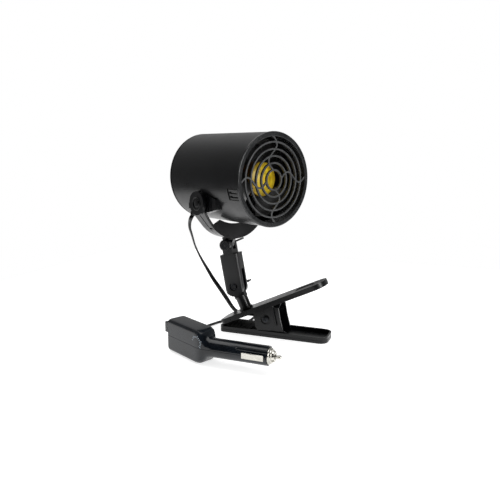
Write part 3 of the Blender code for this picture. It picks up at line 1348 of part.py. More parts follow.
shapes = bmesh.new()
outline = plate_outline(UPPER_HANDLE - THUMB_INSET - THUMB_LENGTH,
                        UPPER_HANDLE - THUMB_INSET, THUMB_HALF, THUMB_HALF * 0.6,
                        THUMB_HALF * 0.6)
add_prism(shapes, outline, "Z", UPPER_TOP - THUMB_SINK, UPPER_TOP + OVERRUN)
cut(upper_jaw, shapes)
shapes = bmesh.new()
add_rod(shapes, PIN_RADIUS + GAP, -JAW_HALF - OVERRUN, JAW_HALF + OVERRUN, 14, "Y")
cut(upper_jaw, shapes)
shapes = bmesh.new()
add_rod(shapes, POST_SCREW_RADIUS + GAP, plate_low - OVERRUN, UPPER_TOP + OVERRUN, 10, "Z",
        place)
cut(upper_jaw, shapes)


# Rubber pads, ribbed across the grip
def add_pad(name, nose, end, low, high, ribs_up, carrier):
    shapes = bmesh.new()
    outline = plate_outline(-nose, -end, PAD_HALF, PAD_CORNER, PAD_CORNER)
    add_prism(shapes, outline, "Z", low, high)
    pad = piece(name, shapes, carrier, RUBBER, 0.75)
    pitch = (nose - end) / (PAD_RIBS + 1)
    shapes = bmesh.new()
    for i in range(PAD_RIBS):
        middle = -nose + pitch * (i + 1)
        half = pitch * PAD_RIB_SHARE / 2
        if ribs_up:
            levels = (high - PAD_RIB_DEPTH, high + OVERRUN)
        else:
            levels = (low - OVERRUN, low + PAD_RIB_DEPTH)
        add_box(shapes, (middle - half, -PAD_HALF - OVERRUN, levels[0]),
                (middle + half, PAD_HALF + OVERRUN, levels[1]))
    cut(pad, shapes)


add_pad("upper_pad", PAD_UPPER_NOSE, PAD_UPPER_END, PAD_UPPER_LOW, plate_low - GAP, False,
        clip_axis)
add_pad("lower_pad", PAD_LOWER_NOSE, PAD_LOWER_END, LOWER_FLOOR + GAP, PAD_LOWER_TOP, True,
        fan_stand)

# Lower jaw: a tray with two inner cheeks
shapes = bmesh.new()
outline = plate_outline(-LOWER_NOSE, LOWER_HANDLE, JAW_HALF, LOWER_NOSE_CORNER,
                        LOWER_HANDLE_CORNER)
add_prism(shapes, outline, "Z", 0, LOWER_RIM)
lower_jaw = piece("lower_jaw", shapes, fan_stand, BLACK, 0.38)
shapes = bmesh.new()
outline = plate_outline(-LOWER_NOSE, LOWER_HANDLE, JAW_HALF, LOWER_NOSE_CORNER,
                        LOWER_HANDLE_CORNER, JAW_WALL)
add_prism(shapes, outline, "Z", LOWER_FLOOR, LOWER_RIM + OVERRUN)
cut(lower_jaw, shapes)
inner_cheek = JAW_HALF - CHEEK_THICK - LUG_GAP
for side in (-1, 1):
    shapes = bmesh.new()
    outline = [(PIN_HEIGHT * a, PIN_HEIGHT * (1 + b)) for a, b in LOWER_CHEEK_SHARES]
    outline = [(x, max(z, LOWER_FLOOR - SINK)) for x, z in outline]
    ends = sorted((side * (inner_cheek - CHEEK_THICK), side * inner_cheek))
    add_prism(shapes, outline, "Y", *ends)
    join(lower_jaw, shapes)
shapes = bmesh.new()
add_rod(shapes, PIN_RADIUS + GAP, -JAW_HALF - OVERRUN, JAW_HALF + OVERRUN, 14, "Y",
        (0, 0, PIN_HEIGHT))
cut(lower_jaw, shapes)

# Pivot pin, its push-on clip, and the torsion spring round it
pin_near = -JAW_HALF - GAP
pin_far = JAW_HALF + GAP + CLIP_THICK + PIN_TAIL
shapes = bmesh.new()
add_turned(shapes, [(pin_near - PIN_HEAD_THICK, 0),
                    (pin_near - PIN_HEAD_THICK, PIN_HEAD_RADIUS - PIN_HEAD_THICK / 3),
                    (pin_near - PIN_HEAD_THICK / 2, PIN_HEAD_RADIUS),
                    (pin_near, PIN_HEAD_RADIUS), (pin_near, PIN_RADIUS),
                    (pin_far, PIN_RADIUS), (pin_far, 0)], 14, "Y", (0, 0, PIN_HEIGHT))
piece("jaw_pin", shapes, fan_stand, STEEL, 0.3, 1.0)
shapes = bmesh.new()
add_tube(shapes, PIN_HEAD_RADIUS, PIN_RADIUS + GAP, JAW_HALF + GAP,
         JAW_HALF + GAP + CLIP_THICK, 14, "Y", (0, 0, PIN_HEIGHT))
piece("pin_clip", shapes, fan_stand, STEEL, 0.3, 1.0)

half_width = SPRING_TURNS * SPRING_PITCH / 2
upper_leg_height = plate_low - GAP - SPRING_WIRE
# The lower leg runs down to the tray, the upper leg up under the plate.
lower_end = Vector((SPRING_LEG, -half_width, LOWER_FLOOR + GAP + SPRING_WIRE))
upper_along = Vector((math.cos(JAW_LEAN), 0, math.sin(JAW_LEAN)))
upper_up = Vector((-math.sin(JAW_LEAN), 0, math.cos(JAW_LEAN)))
pivot = Vector((0, 0, PIN_HEIGHT))
upper_end = pivot + upper_along * SPRING_LEG + upper_up * upper_leg_height
upper_end.y = half_width


def tangent_angle(end, side):
    # Angle on the coil where a straight leg to this end leaves it.
    away = Vector((end.x, end.z - PIN_HEIGHT))
    return math.atan2(away.y, away.x) + side * math.acos(SPRING_RADIUS / away.length)


start_angle = tangent_angle(lower_end, -1)
end_angle = tangent_angle(upper_end, 1)
total = SPRING_TURNS * 2 * math.pi + (end_angle - start_angle) % (2 * math.pi)
total -= 2 * math.pi
steps = round(total / (2 * math.pi) * CURL_POINTS)
coil = []
for i in range(steps + 1):
    angle = start_angle - total * i / steps
    level = -half_width + 2 * half_width * i / steps
    coil.append(Vector((SPRING_RADIUS * math.cos(angle), level,
                        PIN_HEIGHT + SPRING_RADIUS * math.sin(angle))))
lower_foot = lower_end - Vector((3 * SPRING_WIRE, 0, 0))
upper_foot = upper_end - upper_along * 3 * SPRING_WIRE
spring_points = [lower_end, lower_foot] + coil + [upper_foot, upper_end]
add_tube_curve("jaw_spring", spring_points, SPRING_WIRE, fan_stand, 1, STEEL, 0.3, 1.0)
print("jaw spring least gap mm", round(1000 * least_gap(coil, SPRING_WIRE, 6), 3))

# Plug: one lofted body from box to barrel, hollowed, and parted level
plug_frame = axis_empty("plug_frame", fan_stand, (PLUG_X, PLUG_Y, 0), (0, 0, -PLUG_TURN))
barrel_frame = axis_empty("barrel_frame", fan_stand,
                          (BARREL_TIP_X, BARREL_TIP_Y, PLUG_PARTING), (0, 0, -BARREL_TURN))
box_line = Vector((math.cos(-PLUG_TURN), math.sin(-PLUG_TURN), 0))
box_side = Vector((-box_line.y, box_line.x, 0))
barrel_line = Vector((math.cos(-BARREL_TURN), math.sin(-BARREL_TURN), 0))
box_origin = Vector((PLUG_X, PLUG_Y, 0)) + box_side * PLUG_HALF
barrel_tip = Vector((BARREL_TIP_X, BARREL_TIP_Y, PLUG_PARTING))


def section(centre, along, half, tall, corner, sweep, inset):
    # Four corner arcs; on the round barrel they close up to an even polygon.
    across = Vector((-along.y, along.x, 0))
    radius = max(corner - inset, SINK)
    wide = half - inset - radius
    high = tall - inset - radius
    outline = []
    for i, (a, b) in enumerate(((1, 1), (-1, 1), (-1, -1), (1, -1))):
        middle = math.pi / 4 + i * math.pi / 2
        outline += arc((a * wide, b * high), radius, middle - sweep / 2,
                       middle + sweep / 2, CORNER_STEPS)
    return [centre + across * a + Vector((0, 0, b)) for a, b in outline]


def plug_rings(inset, start, tip_over):
    tall = PLUG_TALL / 2
    barrel_sweep = 2 * math.pi * CORNER_STEPS / (4 * CORNER_STEPS + 4)
    rings = []
    # The box, with its left end rounded over.
    edges = ((start, BOX_EDGE), (start + BOX_EDGE * 0.35, BOX_EDGE * 0.35),
             (start + BOX_EDGE, 0.0))
    for along, less in edges:
        place = box_origin + box_line * along + Vector((0, 0, tall))
        rings.append(section(place, box_line, PLUG_HALF - less, tall - less, PLUG_CORNER,
                             math.pi / 2, inset))
    # The shoulder bends towards the barrel and shrinks to its circle.
    shoulder_from = box_origin + box_line * SHOULDER_START
    shoulder_to = barrel_tip - barrel_line * BARREL_LENGTH
    reach = (shoulder_to - shoulder_from).length * 0.42
    middle_from = shoulder_from + box_line * reach
    middle_to = shoulder_to - barrel_line * reach
    for way, done in SHOULDER_SHARES:
        back = 1 - way
        place = (shoulder_from * back ** 3 + middle_from * 3 * back * back * way
                 + middle_to * 3 * back * way * way + shoulder_to * way ** 3)
        place.z = tall + (PLUG_PARTING - tall) * done
        turn = PLUG_TURN + (BARREL_TURN - PLUG_TURN) * way
        heading = Vector((math.cos(-turn), math.sin(-turn), 0))
        half = PLUG_HALF + (BARREL_RADIUS - PLUG_HALF) * done
        high = tall + (BARREL_RADIUS - tall) * done
        corner = PLUG_CORNER + (BARREL_RADIUS - PLUG_CORNER) * done
        sweep = math.pi / 2 + (barrel_sweep - math.pi / 2) * done
        rings.append(section(place, heading, half, high, corner, sweep, inset))
    place = barrel_tip + barrel_line * tip_over
    rings.append(section(place, barrel_line, BARREL_RADIUS, BARREL_RADIUS, BARREL_RADIUS,
                         barrel_sweep, inset))
    return rings


def add_loft(shapes, rings):
    loops = [[shapes.verts.new(point) for point in ring] for ring in rings]
    count = len(loops[0])
    for first, second in zip(loops, loops[1:]):
        for k in range(count):
            after = (k + 1) % count
            shapes.faces.new((first[k], first[after], second[after], second[k]))
    shapes.faces.new(loops[0])
    shapes.faces.new(loops[-1])


def add_slab(shapes, low, high):
    # A slab wide enough to cover the whole plug.
    add_box(shapes, (PLUG_X - PLUG_LENGTH, BARREL_TIP_Y - PLUG_LENGTH, low),
            (BARREL_TIP_X + PLUG_LENGTH, PLUG_Y + PLUG_LENGTH, high))


def add_bulkhead(shapes):
    before = set(shapes.verts)
    reach = BARREL_RADIUS - PLUG_WALL / 2
    add_rod(shapes, reach, -BULKHEAD_BACK - BULKHEAD_THICK, -BULKHEAD_BACK, 16)
    fresh = [vert for vert in shapes.verts if vert not in before]
    bmesh.ops.transform(shapes, verts=fresh, matrix=barrel_place)


barrel_place = Matrix.Translation(barrel_tip) @ Matrix.Rotation(-BARREL_TURN, 4, "Z")
box_place = Matrix.Translation((PLUG_X, PLUG_Y, 0)) @ Matrix.Rotation(-PLUG_TURN, 4, "Z")
screw_spot = box_place @ Vector((PLUG_LENGTH * PLUG_SCREW_SHARE, PLUG_HALF, 0))
halves = (("plug_lower_shell", -OVERRUN, PLUG_PARTING - GAP / 2),
          ("plug_upper_shell", PLUG_PARTING + GAP / 2, PLUG_TALL + OVERRUN))
for name, low, high in halves:
    lower = name == "plug_lower_shell"
    shapes = bmesh.new()
    add_loft(shapes, plug_rings(0.0, 0.0, 0.0))
    shell = piece(name, shapes, fan_stand, BLUE_BLACK, 0.28)
    shapes = bmesh.new()
    add_loft(shapes, plug_rings(PLUG_WALL, PLUG_WALL, OVERRUN))
    cut(shell, shapes)
    shapes = bmesh.new()
    add_bulkhead(shapes)
    join(shell, shapes)
    post_low = PLUG_WALL / 2
    shapes = bmesh.new()
    add_rod(shapes, PLUG_POST_RADIUS, post_low, PLUG_TALL - post_low, 14, "Z", screw_spot)
    join(shell, shapes)
    shapes = bmesh.new()
    add_slab(shapes, low, high)
    keep(shell, shapes)
    shapes = bmesh.new()
    add_turned(shapes, [(-OVERRUN, 0), (-OVERRUN, SCREW_HEAD + GAP),
                        (PLUG_SCREW_SINK, SCREW_HEAD + GAP),
                        (PLUG_SCREW_SINK, SCREW_RADIUS + GAP),
                        (PLUG_SCREW_SINK + PLUG_SCREW_LENGTH + GAP, SCREW_RADIUS + GAP),
                        (PLUG_SCREW_SINK + PLUG_SCREW_LENGTH + GAP, 0)], 12, "Z", screw_spot)
    cut(shell, shapes)
    # Windows for the two side contacts
    shapes = bmesh.new()
    add_box(shapes, (-WINDOW_BACK - CONTACT_WINDOW / 2, -BARREL_RADIUS - OVERRUN,
                     -CONTACT_HALF - GAP),
            (-WINDOW_BACK + CONTACT_WINDOW / 2, BARREL_RADIUS + OVERRUN,
             CONTACT_HALF + GAP))
    cut(shell, put(shapes, barrel_place))
    if lower:
        # Hole for the cord relief in the far wall
        shapes = bmesh.new()
        add_rod(shapes, RELIEF_TIP + GAP, 2 * PLUG_HALF - PLUG_WALL - OVERRUN,
                2 * PLUG_HALF + OVERRUN, 12, "Y", (RELIEF_ALONG, 0, RELIEF_HEIGHT))
        cut(shell, put(shapes, box_place))
    else:
        # Opening for the rocker switch in the left end
        shapes = bmesh.new()
        add_box(shapes, (-OVERRUN, SWITCH_NEAR + SWITCH_BORDER, SWITCH_LOW + SWITCH_BORDER),
                (PLUG_WALL + OVERRUN, SWITCH_NEAR + SWITCH_WIDTH - SWITCH_BORDER,
                 SWITCH_HIGH - SWITCH_BORDER))
        cut(shell, put(shapes, box_place))

seat = PLUG_SCREW_SINK - GAP
shapes = bmesh.new()
add_turned(shapes, [(seat - SCREW_HEAD_THICK, 0), (seat - SCREW_HEAD_THICK, SCREW_HEAD),
                    (seat, SCREW_HEAD), (seat, SCREW_RADIUS),
                    (PLUG_SCREW_SINK + PLUG_SCREW_LENGTH, SCREW_RADIUS),
                    (PLUG_SCREW_SINK + PLUG_SCREW_LENGTH, 0)], 12, "Z", screw_spot)
piece("plug_screw", shapes, fan_stand, STEEL, 0.3, 1.0)

# Switch frame and rocker on the left end of the box
frame_in = -GAP
neck_near = SWITCH_NEAR + SWITCH_BORDER + GAP
neck_far = SWITCH_NEAR + SWITCH_WIDTH - SWITCH_BORDER - GAP
neck_low = SWITCH_LOW + SWITCH_BORDER + GAP
neck_high = SWITCH_HIGH - SWITCH_BORDER - GAP
shapes = bmesh.new()
add_box(shapes, (frame_in - SWITCH_FRAME, SWITCH_NEAR, SWITCH_LOW),
        (frame_in, SWITCH_NEAR + SWITCH_WIDTH, SWITCH_HIGH))
switch_bezel = piece("switch_bezel", shapes, plug_frame, BLACK, 0.35, smooth=False)
shapes = bmesh.new()
add_box(shapes, (frame_in - SINK, neck_near, neck_low), (PLUG_WALL, neck_far, neck_high))
join(switch_bezel, shapes)
shapes = bmesh.new()
hole_near = neck_near + SWITCH_WALL
hole_far = neck_far - SWITCH_WALL
hole_low = neck_low + SWITCH_WALL
hole_high = neck_high - SWITCH_WALL
add_box(shapes, (frame_in - SWITCH_FRAME - OVERRUN, hole_near, hole_low),
        (PLUG_WALL + OVERRUN, hole_far, hole_high))
cut(switch_bezel, shapes)
rocker_height = (hole_low + hole_high) / 2
rocker_axis = axis_empty("rocker_axis", plug_frame, (ROCKER_PIVOT, 0, rocker_height))
rocker_half = (hole_high - hole_low) / 2 - GAP
face_x = frame_in - SWITCH_FRAME - ROCKER_PIVOT
shapes = bmesh.new()
waist = math.sqrt(rocker_half ** 2 - face_x ** 2)
outline = [(ROCKER_BACK, -rocker_half * 0.6), (0, -rocker_half), (face_x, -waist),
           (-ROCKER_LOW_REACH, -waist), (-ROCKER_LOW_REACH, 0.0), (-ROCKER_REACH, waist),
           (face_x, waist), (0, rocker_half), (ROCKER_BACK, rocker_half * 0.6)]
add_prism(shapes, outline, "Y", hole_near + GAP, hole_far - GAP)
piece("rocker_switch", shapes, rocker_axis, BLACK, 0.3, smooth=False)


# Side contacts: bowed strips held behind their windows
def contact_outline(side):
    back = -WINDOW_BACK - CONTACT_WINDOW / 2
    front = -WINDOW_BACK + CONTACT_WINDOW / 2
    proud = BARREL_RADIUS + CONTACT_PROUD
    outer = [(back - CONTACT_FLANGE, CONTACT_SEAT), (back + GAP, CONTACT_SEAT),
             (back + GAP + CONTACT_RAMP, proud - CONTACT_PROUD),
             (-WINDOW_BACK, proud), (front - GAP - CONTACT_RAMP, proud - CONTACT_PROUD),
             (front - GAP, CONTACT_SEAT), (front + CONTACT_FLANGE, CONTACT_SEAT)]
    inner = [(x, y - CONTACT_THICK) for x, y in outer]
    return [(x, side * y) for x, y in outer + inner[::-1]]


for name, side in (("contact_left", -1), ("contact_right", 1)):
    shapes = bmesh.new()
    add_prism(shapes, contact_outline(side), "Z", -CONTACT_HALF + GAP, CONTACT_HALF - GAP)
    piece(name, shapes, barrel_frame, STEEL, 0.22, 1.0, smooth=False)

# Tip: threaded cap, sprung pin, fuse and spring
shapes = bmesh.new()
barrel_sides = 4 * CORNER_STEPS + 4
neck = (BARREL_RADIUS - PLUG_WALL) * math.cos(math.pi / barrel_sides) - GAP
cap = [(-TIP_CAP_NECK, TIP_PIN_RADIUS + GAP), (-TIP_CAP_NECK, neck),
       (GAP, neck), (GAP, TIP_CAP_RADIUS), (TIP_CAP_THICK, TIP_CAP_RADIUS),
       (TIP_CAP_THICK + TIP_CAP_CONE, TIP_CAP_NOSE),
       (TIP_CAP_THICK + TIP_CAP_CONE, TIP_PIN_RADIUS + GAP)]
add_turned(shapes, cap, 16, closed=True)
piece("tip_cap", shapes, barrel_frame, STEEL, 0.3, 1.0)
collar_front = -TIP_CAP_NECK - GAP
shapes = bmesh.new()
add_turned(shapes, [(collar_front - TIP_COLLAR_THICK, 0),
                    (collar_front - TIP_COLLAR_THICK, TIP_PIN_COLLAR),
                    (collar_front, TIP_PIN_COLLAR), (collar_front, TIP_PIN_RADIUS),
                    (TIP_PIN_REACH - TIP_PIN_ROUND, TIP_PIN_RADIUS),
                    (TIP_PIN_REACH, TIP_PIN_RADIUS - TIP_PIN_ROUND), (TIP_PIN_REACH, 0)], 12)
piece("tip_pin", shapes, barrel_frame, STEEL, 0.2, 1.0)
fuse_front = collar_front - TIP_COLLAR_THICK - GAP
fuse_back = fuse_front - FUSE_LENGTH
shapes = bmesh.new()
add_rod(shapes, FUSE_RADIUS, fuse_back, fuse_front, 12)
piece("fuse", shapes, barrel_frame, GLASS, 0.15)
spring_from = -BULKHEAD_BACK + GAP
spring_to = fuse_back - GAP
shapes = bmesh.new()
add_tube(shapes, TIP_SPRING_RADIUS + TIP_SPRING_WIRE, TIP_SPRING_RADIUS - TIP_SPRING_WIRE,
         spring_from, spring_to, 12)
piece("tip_spring", shapes, barrel_frame, STEEL, 0.3, 1.0)

# Cord relief on the far face of the box
relief_face = 2 * PLUG_HALF + GAP
relief_end = relief_face + RELIEF_LENGTH
shapes = bmesh.new()
add_turned(shapes, [(2 * PLUG_HALF - PLUG_WALL, 0), (2 * PLUG_HALF - PLUG_WALL, RELIEF_TIP),
                    (relief_face, RELIEF_TIP), (relief_face, RELIEF_ROOT),
                    (relief_face + RELIEF_FLANGE, RELIEF_ROOT), (relief_end, RELIEF_TIP),
                    (relief_end, 0)], 12, "Y", (RELIEF_ALONG, 0, RELIEF_HEIGHT))
piece("plug_relief", shapes, plug_frame, RUBBER, 0.6)

# Cord: a drop from the head, the wound spare length, and the lead to the plug
bpy.context.view_layer.update()
gland_tip = tilt_axis.matrix_world @ (gland_place @ Vector((0, 0, gland_end + GAP)))
gland_way = tilt_axis.matrix_world.to_3x3() @ gland_line
coil_top = COIL_LIFT + CORD_RADIUS + WIND_PITCH * (COIL_LAYERS - 1)


def coil_route():
    points = []
    steps = round(COIL_TURNS * COIL_POINTS)
    layer_turns = COIL_TURNS / COIL_LAYERS
    for i in range(steps + 1):
        turns = COIL_TURNS * i / steps
        layer = min(int(turns / layer_turns), COIL_LAYERS - 1)
        way = turns - layer * layer_turns
        inward = way if layer % 2 == 0 else layer_turns - way
        radius = COIL_RADIUS - WIND_PITCH * inward
        height = coil_top - WIND_PITCH * layer
        # A quarter turn each side of a reversal carries the cord to the next layer.
        if layer > 0 and way < 0.25:
            height += WIND_PITCH * (0.5 - 0.5 * math.sin(math.pi * way / 0.5))
        if layer < COIL_LAYERS - 1 and layer_turns - way < 0.25:
            left = layer_turns - way
            height -= WIND_PITCH * (0.5 - 0.5 * math.sin(math.pi * left / 0.5))
        angle = COIL_START + 2 * math.pi * turns
        points.append(Vector((COIL_X + radius * math.cos(angle),
                              COIL_Y + radius * math.sin(angle), height)))
    first = Vector((-math.sin(COIL_START), math.cos(COIL_START), 0))
    final = COIL_START + 2 * math.pi * COIL_TURNS
    last = Vector((-math.sin(final), math.cos(final), 0))
    return [points[0] - first * COIL_TAIL] + points + [points[-1] + last * COIL_TAIL]


coil_points = coil_route()
drop_end = coil_points[0] + (coil_points[0] - coil_points[1]).normalized() * GAP
lead_start = coil_points[-1] + (coil_points[-1] - coil_points[-2]).normalized() * GAP
relief_tip = box_place @ Vector((RELIEF_ALONG, relief_end + GAP, RELIEF_HEIGHT))
drop_route = [gland_tip, gland_tip + gland_way * 2.2 * CORD_RADIUS,
              (-0.1050, -0.0100, 0.1350), (-0.1056, -0.0082, 0.1270),
              (-0.1040, -0.0060, 0.1190), (-0.1012, -0.0030, 0.1046),
              (-0.0948, 0.0000, 0.0889), (-0.0890, 0.0060, 0.0740),
              (-0.0828, 0.0110, 0.0599), (-0.0745, 0.0165, 0.0446),
              (-0.0682, 0.0215, 0.0317), (-0.0630, 0.0248, 0.0215),
              (-0.0565, 0.0256, 0.0150), (-0.0480, 0.0238, coil_top),
              tuple(drop_end - Vector((2.2 * CORD_RADIUS, 0, 0))), drop_end]
drop_points = [gland_tip] + smooth_route(drop_route[1:-1], CORD_STEP) + [drop_end]
floor_level = CORD_RADIUS + GAP
lead_route = [lead_start, lead_start - Vector((0, 2.2 * CORD_RADIUS, 0)),
              (-0.0400, 0.0270, 0.0024), (-0.0455, 0.0222, floor_level),
              (-0.0560, 0.0205, floor_level), (-0.0665, 0.0195, floor_level),
              (-0.0735, 0.0140, floor_level), (-0.0770, 0.0060, floor_level),
              (-0.0800, -0.0020, floor_level), (-0.0828, -0.0103, floor_level),
              (-0.0845, -0.0220, floor_level), (-0.0805, -0.0340, floor_level),
              (-0.0715, -0.0440, floor_level), (-0.0640, -0.0540, floor_level),
              (-0.0612, -0.0635, 0.0036),
              tuple(relief_tip + box_side * 2.2 * CORD_RADIUS), relief_tip]
lead_points = [lead_start] + smooth_route(lead_route[1:-1], CORD_STEP) + [relief_tip]
add_tube_curve("cord_drop", drop_points, CORD_RADIUS, fan_stand, 2, RUBBER, 0.5)
add_tube_curve("cord_coil", coil_points, CORD_RADIUS, fan_stand, 1, RUBBER, 0.5)
add_tube_curve("cord_lead", lead_points, CORD_RADIUS, fan_stand, 2, RUBBER, 0.5)
print("coil least gap mm", round(1000 * least_gap(coil_points, CORD_RADIUS, 12), 3))
print("cord lengths mm", [round(1000 * length_of(p), 1)
                          for p in (drop_points, coil_points, lead_points)])

# Tie: a flat strap round the coil's turns, with its ends twisted together outside
inner_turn = COIL_RADIUS - WIND_PITCH * COIL_TURNS / COIL_LAYERS
near_edge = inner_turn - CORD_RADIUS - TIE_LOOSE
far_edge = COIL_RADIUS + CORD_RADIUS + TIE_LOOSE
low_edge = COIL_LIFT - GAP
high_edge = coil_top + CORD_RADIUS + TIE_LOOSE
corner = CORD_RADIUS
outer = rounded([(near_edge - TIE_THICK, low_edge - TIE_THICK),
                 (far_edge + TIE_THICK, low_edge - TIE_THICK),
                 (far_edge + TIE_THICK, high_edge + TIE_THICK),
                 (near_edge - TIE_THICK, high_edge + TIE_THICK)],
                [corner * 0.5 + TIE_THICK] * 4, 3)
inner = rounded([(near_edge, low_edge), (far_edge, low_edge), (far_edge, high_edge),
                 (near_edge, high_edge)], [corner * 0.5] * 4, 3)
shapes = bmesh.new()
add_prism(shapes, outer, "Y", -TIE_WIDTH / 2, TIE_WIDTH / 2)
tie_place = Matrix.Translation((COIL_X, COIL_Y, 0)) @ Matrix.Rotation(TIE_ANGLE, 4, "Z")
coil_tie = piece("coil_tie", put(shapes, tie_place), fan_stand, BLACK, 0.5)
shapes = bmesh.new()
add_prism(shapes, inner, "Y", -TIE_WIDTH / 2 - OVERRUN, TIE_WIDTH / 2 + OVERRUN)
cut(coil_tie, put(shapes, tie_place))
shapes = bmesh.new()
add_rod(shapes, TIE_THICK, far_edge + TIE_THICK / 2, far_edge + TIE_TAIL, 8, "X",
        (0, 0, high_edge / 2))
join(coil_tie, put(shapes, tie_place))

# Stand the fan on the table with its own pieces centred on the origin
bpy.context.view_layer.update()
cord_pieces = {"cord_drop", "cord_coil", "cord_lead", "coil_tie", "plug_lower_shell",
               "plug_upper_shell", "plug_screw", "switch_bezel", "rocker_switch",
               "contact_left", "contact_right", "tip_cap", "tip_pin", "tip_spring",
               "fuse", "plug_relief"}
lows = [math.inf] * 3
highs = [-math.inf] * 3
for item in bpy.data.objects:
    if item.type == "EMPTY" or item.name in cord_pieces:
        continue
    graph = bpy.context.evaluated_depsgraph_get()
    shown = item.evaluated_get(graph)
    mesh = shown.to_mesh()
    for vert in mesh.vertices:
        place = item.matrix_world @ vert.co
        lows = [min(a, b) for a, b in zip(lows, place)]
        highs = [max(a, b) for a, b in zip(highs, place)]
    shown.to_mesh_clear()
fan_stand.location = (-(lows[0] + highs[0]) / 2, -(lows[1] + highs[1]) / 2, -lows[2])
bpy.context.view_layer.update()
print("size mm", [round(1000 * (b - a), 2) for a, b in zip(lows, highs)])
for item in bpy.data.objects:
    if item.type == "EMPTY":
        place = item.matrix_world.translation
        print(item.name, [round(value, 6) for value in place])
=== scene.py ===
# Clip-on car fan: the finished looks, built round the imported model.
import json
import math

import bmesh
import bpy
from mathutils import Matrix, Vector
from mathutils.bvhtree import BVHTree

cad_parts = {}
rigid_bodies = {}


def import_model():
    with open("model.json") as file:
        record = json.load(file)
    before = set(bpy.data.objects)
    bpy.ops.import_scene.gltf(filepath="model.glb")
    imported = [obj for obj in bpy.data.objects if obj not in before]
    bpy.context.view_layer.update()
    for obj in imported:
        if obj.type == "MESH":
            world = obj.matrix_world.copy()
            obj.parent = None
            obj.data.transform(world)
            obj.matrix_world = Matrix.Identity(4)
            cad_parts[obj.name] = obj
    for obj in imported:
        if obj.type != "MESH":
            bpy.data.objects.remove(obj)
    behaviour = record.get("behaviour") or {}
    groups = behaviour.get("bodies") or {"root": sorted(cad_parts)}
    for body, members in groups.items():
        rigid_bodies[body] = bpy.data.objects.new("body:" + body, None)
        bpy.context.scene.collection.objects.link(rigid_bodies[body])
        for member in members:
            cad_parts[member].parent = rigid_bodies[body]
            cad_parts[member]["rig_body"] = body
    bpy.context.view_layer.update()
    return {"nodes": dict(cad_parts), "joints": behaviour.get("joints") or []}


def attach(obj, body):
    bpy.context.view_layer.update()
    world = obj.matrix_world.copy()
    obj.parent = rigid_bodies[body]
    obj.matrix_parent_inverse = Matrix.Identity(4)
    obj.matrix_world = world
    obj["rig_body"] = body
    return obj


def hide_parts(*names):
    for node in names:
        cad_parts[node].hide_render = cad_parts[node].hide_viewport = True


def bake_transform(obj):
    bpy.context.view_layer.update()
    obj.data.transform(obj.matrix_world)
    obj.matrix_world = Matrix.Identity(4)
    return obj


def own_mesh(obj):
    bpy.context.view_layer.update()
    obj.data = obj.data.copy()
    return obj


for old in list(bpy.data.objects):
    bpy.data.objects.remove(old, do_unlink=True)
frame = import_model()
nodes = frame["nodes"]
scene = bpy.context.scene
mm = 0.001
joints = {joint["name"]: Vector(joint["pos_m"]) for joint in frame["joints"]
          if "pos_m" in joint}

# The photograph was taken from the front right, a little above the fan
view = {"place": (237.8, -618.8, 227.0), "turn": 21.0, "dip": 10.4, "lens": 39.6,
        "sensor": 36, "nearest": 20}
camera = bpy.data.objects.new("camera", bpy.data.cameras.new("camera"))
scene.collection.objects.link(camera)
camera.location = Vector(view["place"]) * mm
camera.rotation_euler = (math.radians(90 - view["dip"]), 0, math.radians(view["turn"]))
camera.data.sensor_width = view["sensor"]
camera.data.lens = view["lens"]
camera.data.clip_start = view["nearest"] * mm
scene.camera = camera
print("camera is in place")


def at(x, y, z):
    return Matrix.Translation(Vector((x, y, z)) * mm)


def turned(angle, axis):
    return Matrix.Rotation(math.radians(angle), 4, axis)


# Where each part of the fan stands, with its own directions
stand = {"headTurn": -28.33, "tubeUp": 28, "stemLean": -10.5, "jawOpen": -25,
         "plug": (-66.388, -92.316, 0), "plugTurn": -28.03,
         "barrel": (65.012, -113.616, 19.0), "barrelTurn": -1.7}
headTurn = turned(stand["headTurn"], "Z")
tiltPlace = Matrix.Translation(joints["head_tilt"]) @ headTurn
fanPlace = tiltPlace @ at(0, 0, stand["tubeUp"])
panPlace = Matrix.Translation(joints["yoke_pan"]) @ headTurn
stemPlace = Matrix.Translation(joints["lower_knuckle"]) @ turned(stand["stemLean"], "Y")
jawPlace = Matrix.Translation(joints["clip_hinge"]) @ turned(stand["jawOpen"], "Y")
plugPlace = at(*stand["plug"]) @ turned(stand["plugTurn"], "Z")
barrelPlace = at(*stand["barrel"]) @ turned(stand["barrelTurn"], "Z")
# The near side of the fan and the clip faces the camera
sides = {"near": -1, "far": 1}
turnTo = {"near": turned(-90, "Z"), "far": turned(90, "Z"), "back": turned(180, "Z")}


# Materials
def toLinear(hexText):
    channels = [int(hexText[i:i + 2], 16) / 255 for i in (1, 3, 5)]
    return [c / 12.92 if c <= 0.04045 else ((c + 0.055) / 1.055) ** 2.4
            for c in channels] + [1.0]


def addNode(tree, kind, settings=None, links=None):
    node = tree.nodes.new(kind)
    for name, value in (settings or {}).items():
        if isinstance(name, int) or name in node.inputs:
            node.inputs[name].default_value = value
        else:
            setattr(node, name, value)
    for name, source in (links or {}).items():
        tree.links.new(source, node.inputs[name])
    return node


# How scuffs run, where they begin, and how much they dull and sink the surface
wear = {"run": (1, 1, 9), "slant": (0.3, 0.5, 0), "begins": 0.60, "full": 0.72,
        "dulls": 0.12, "sinks": -0.35, "bump": 0.35}


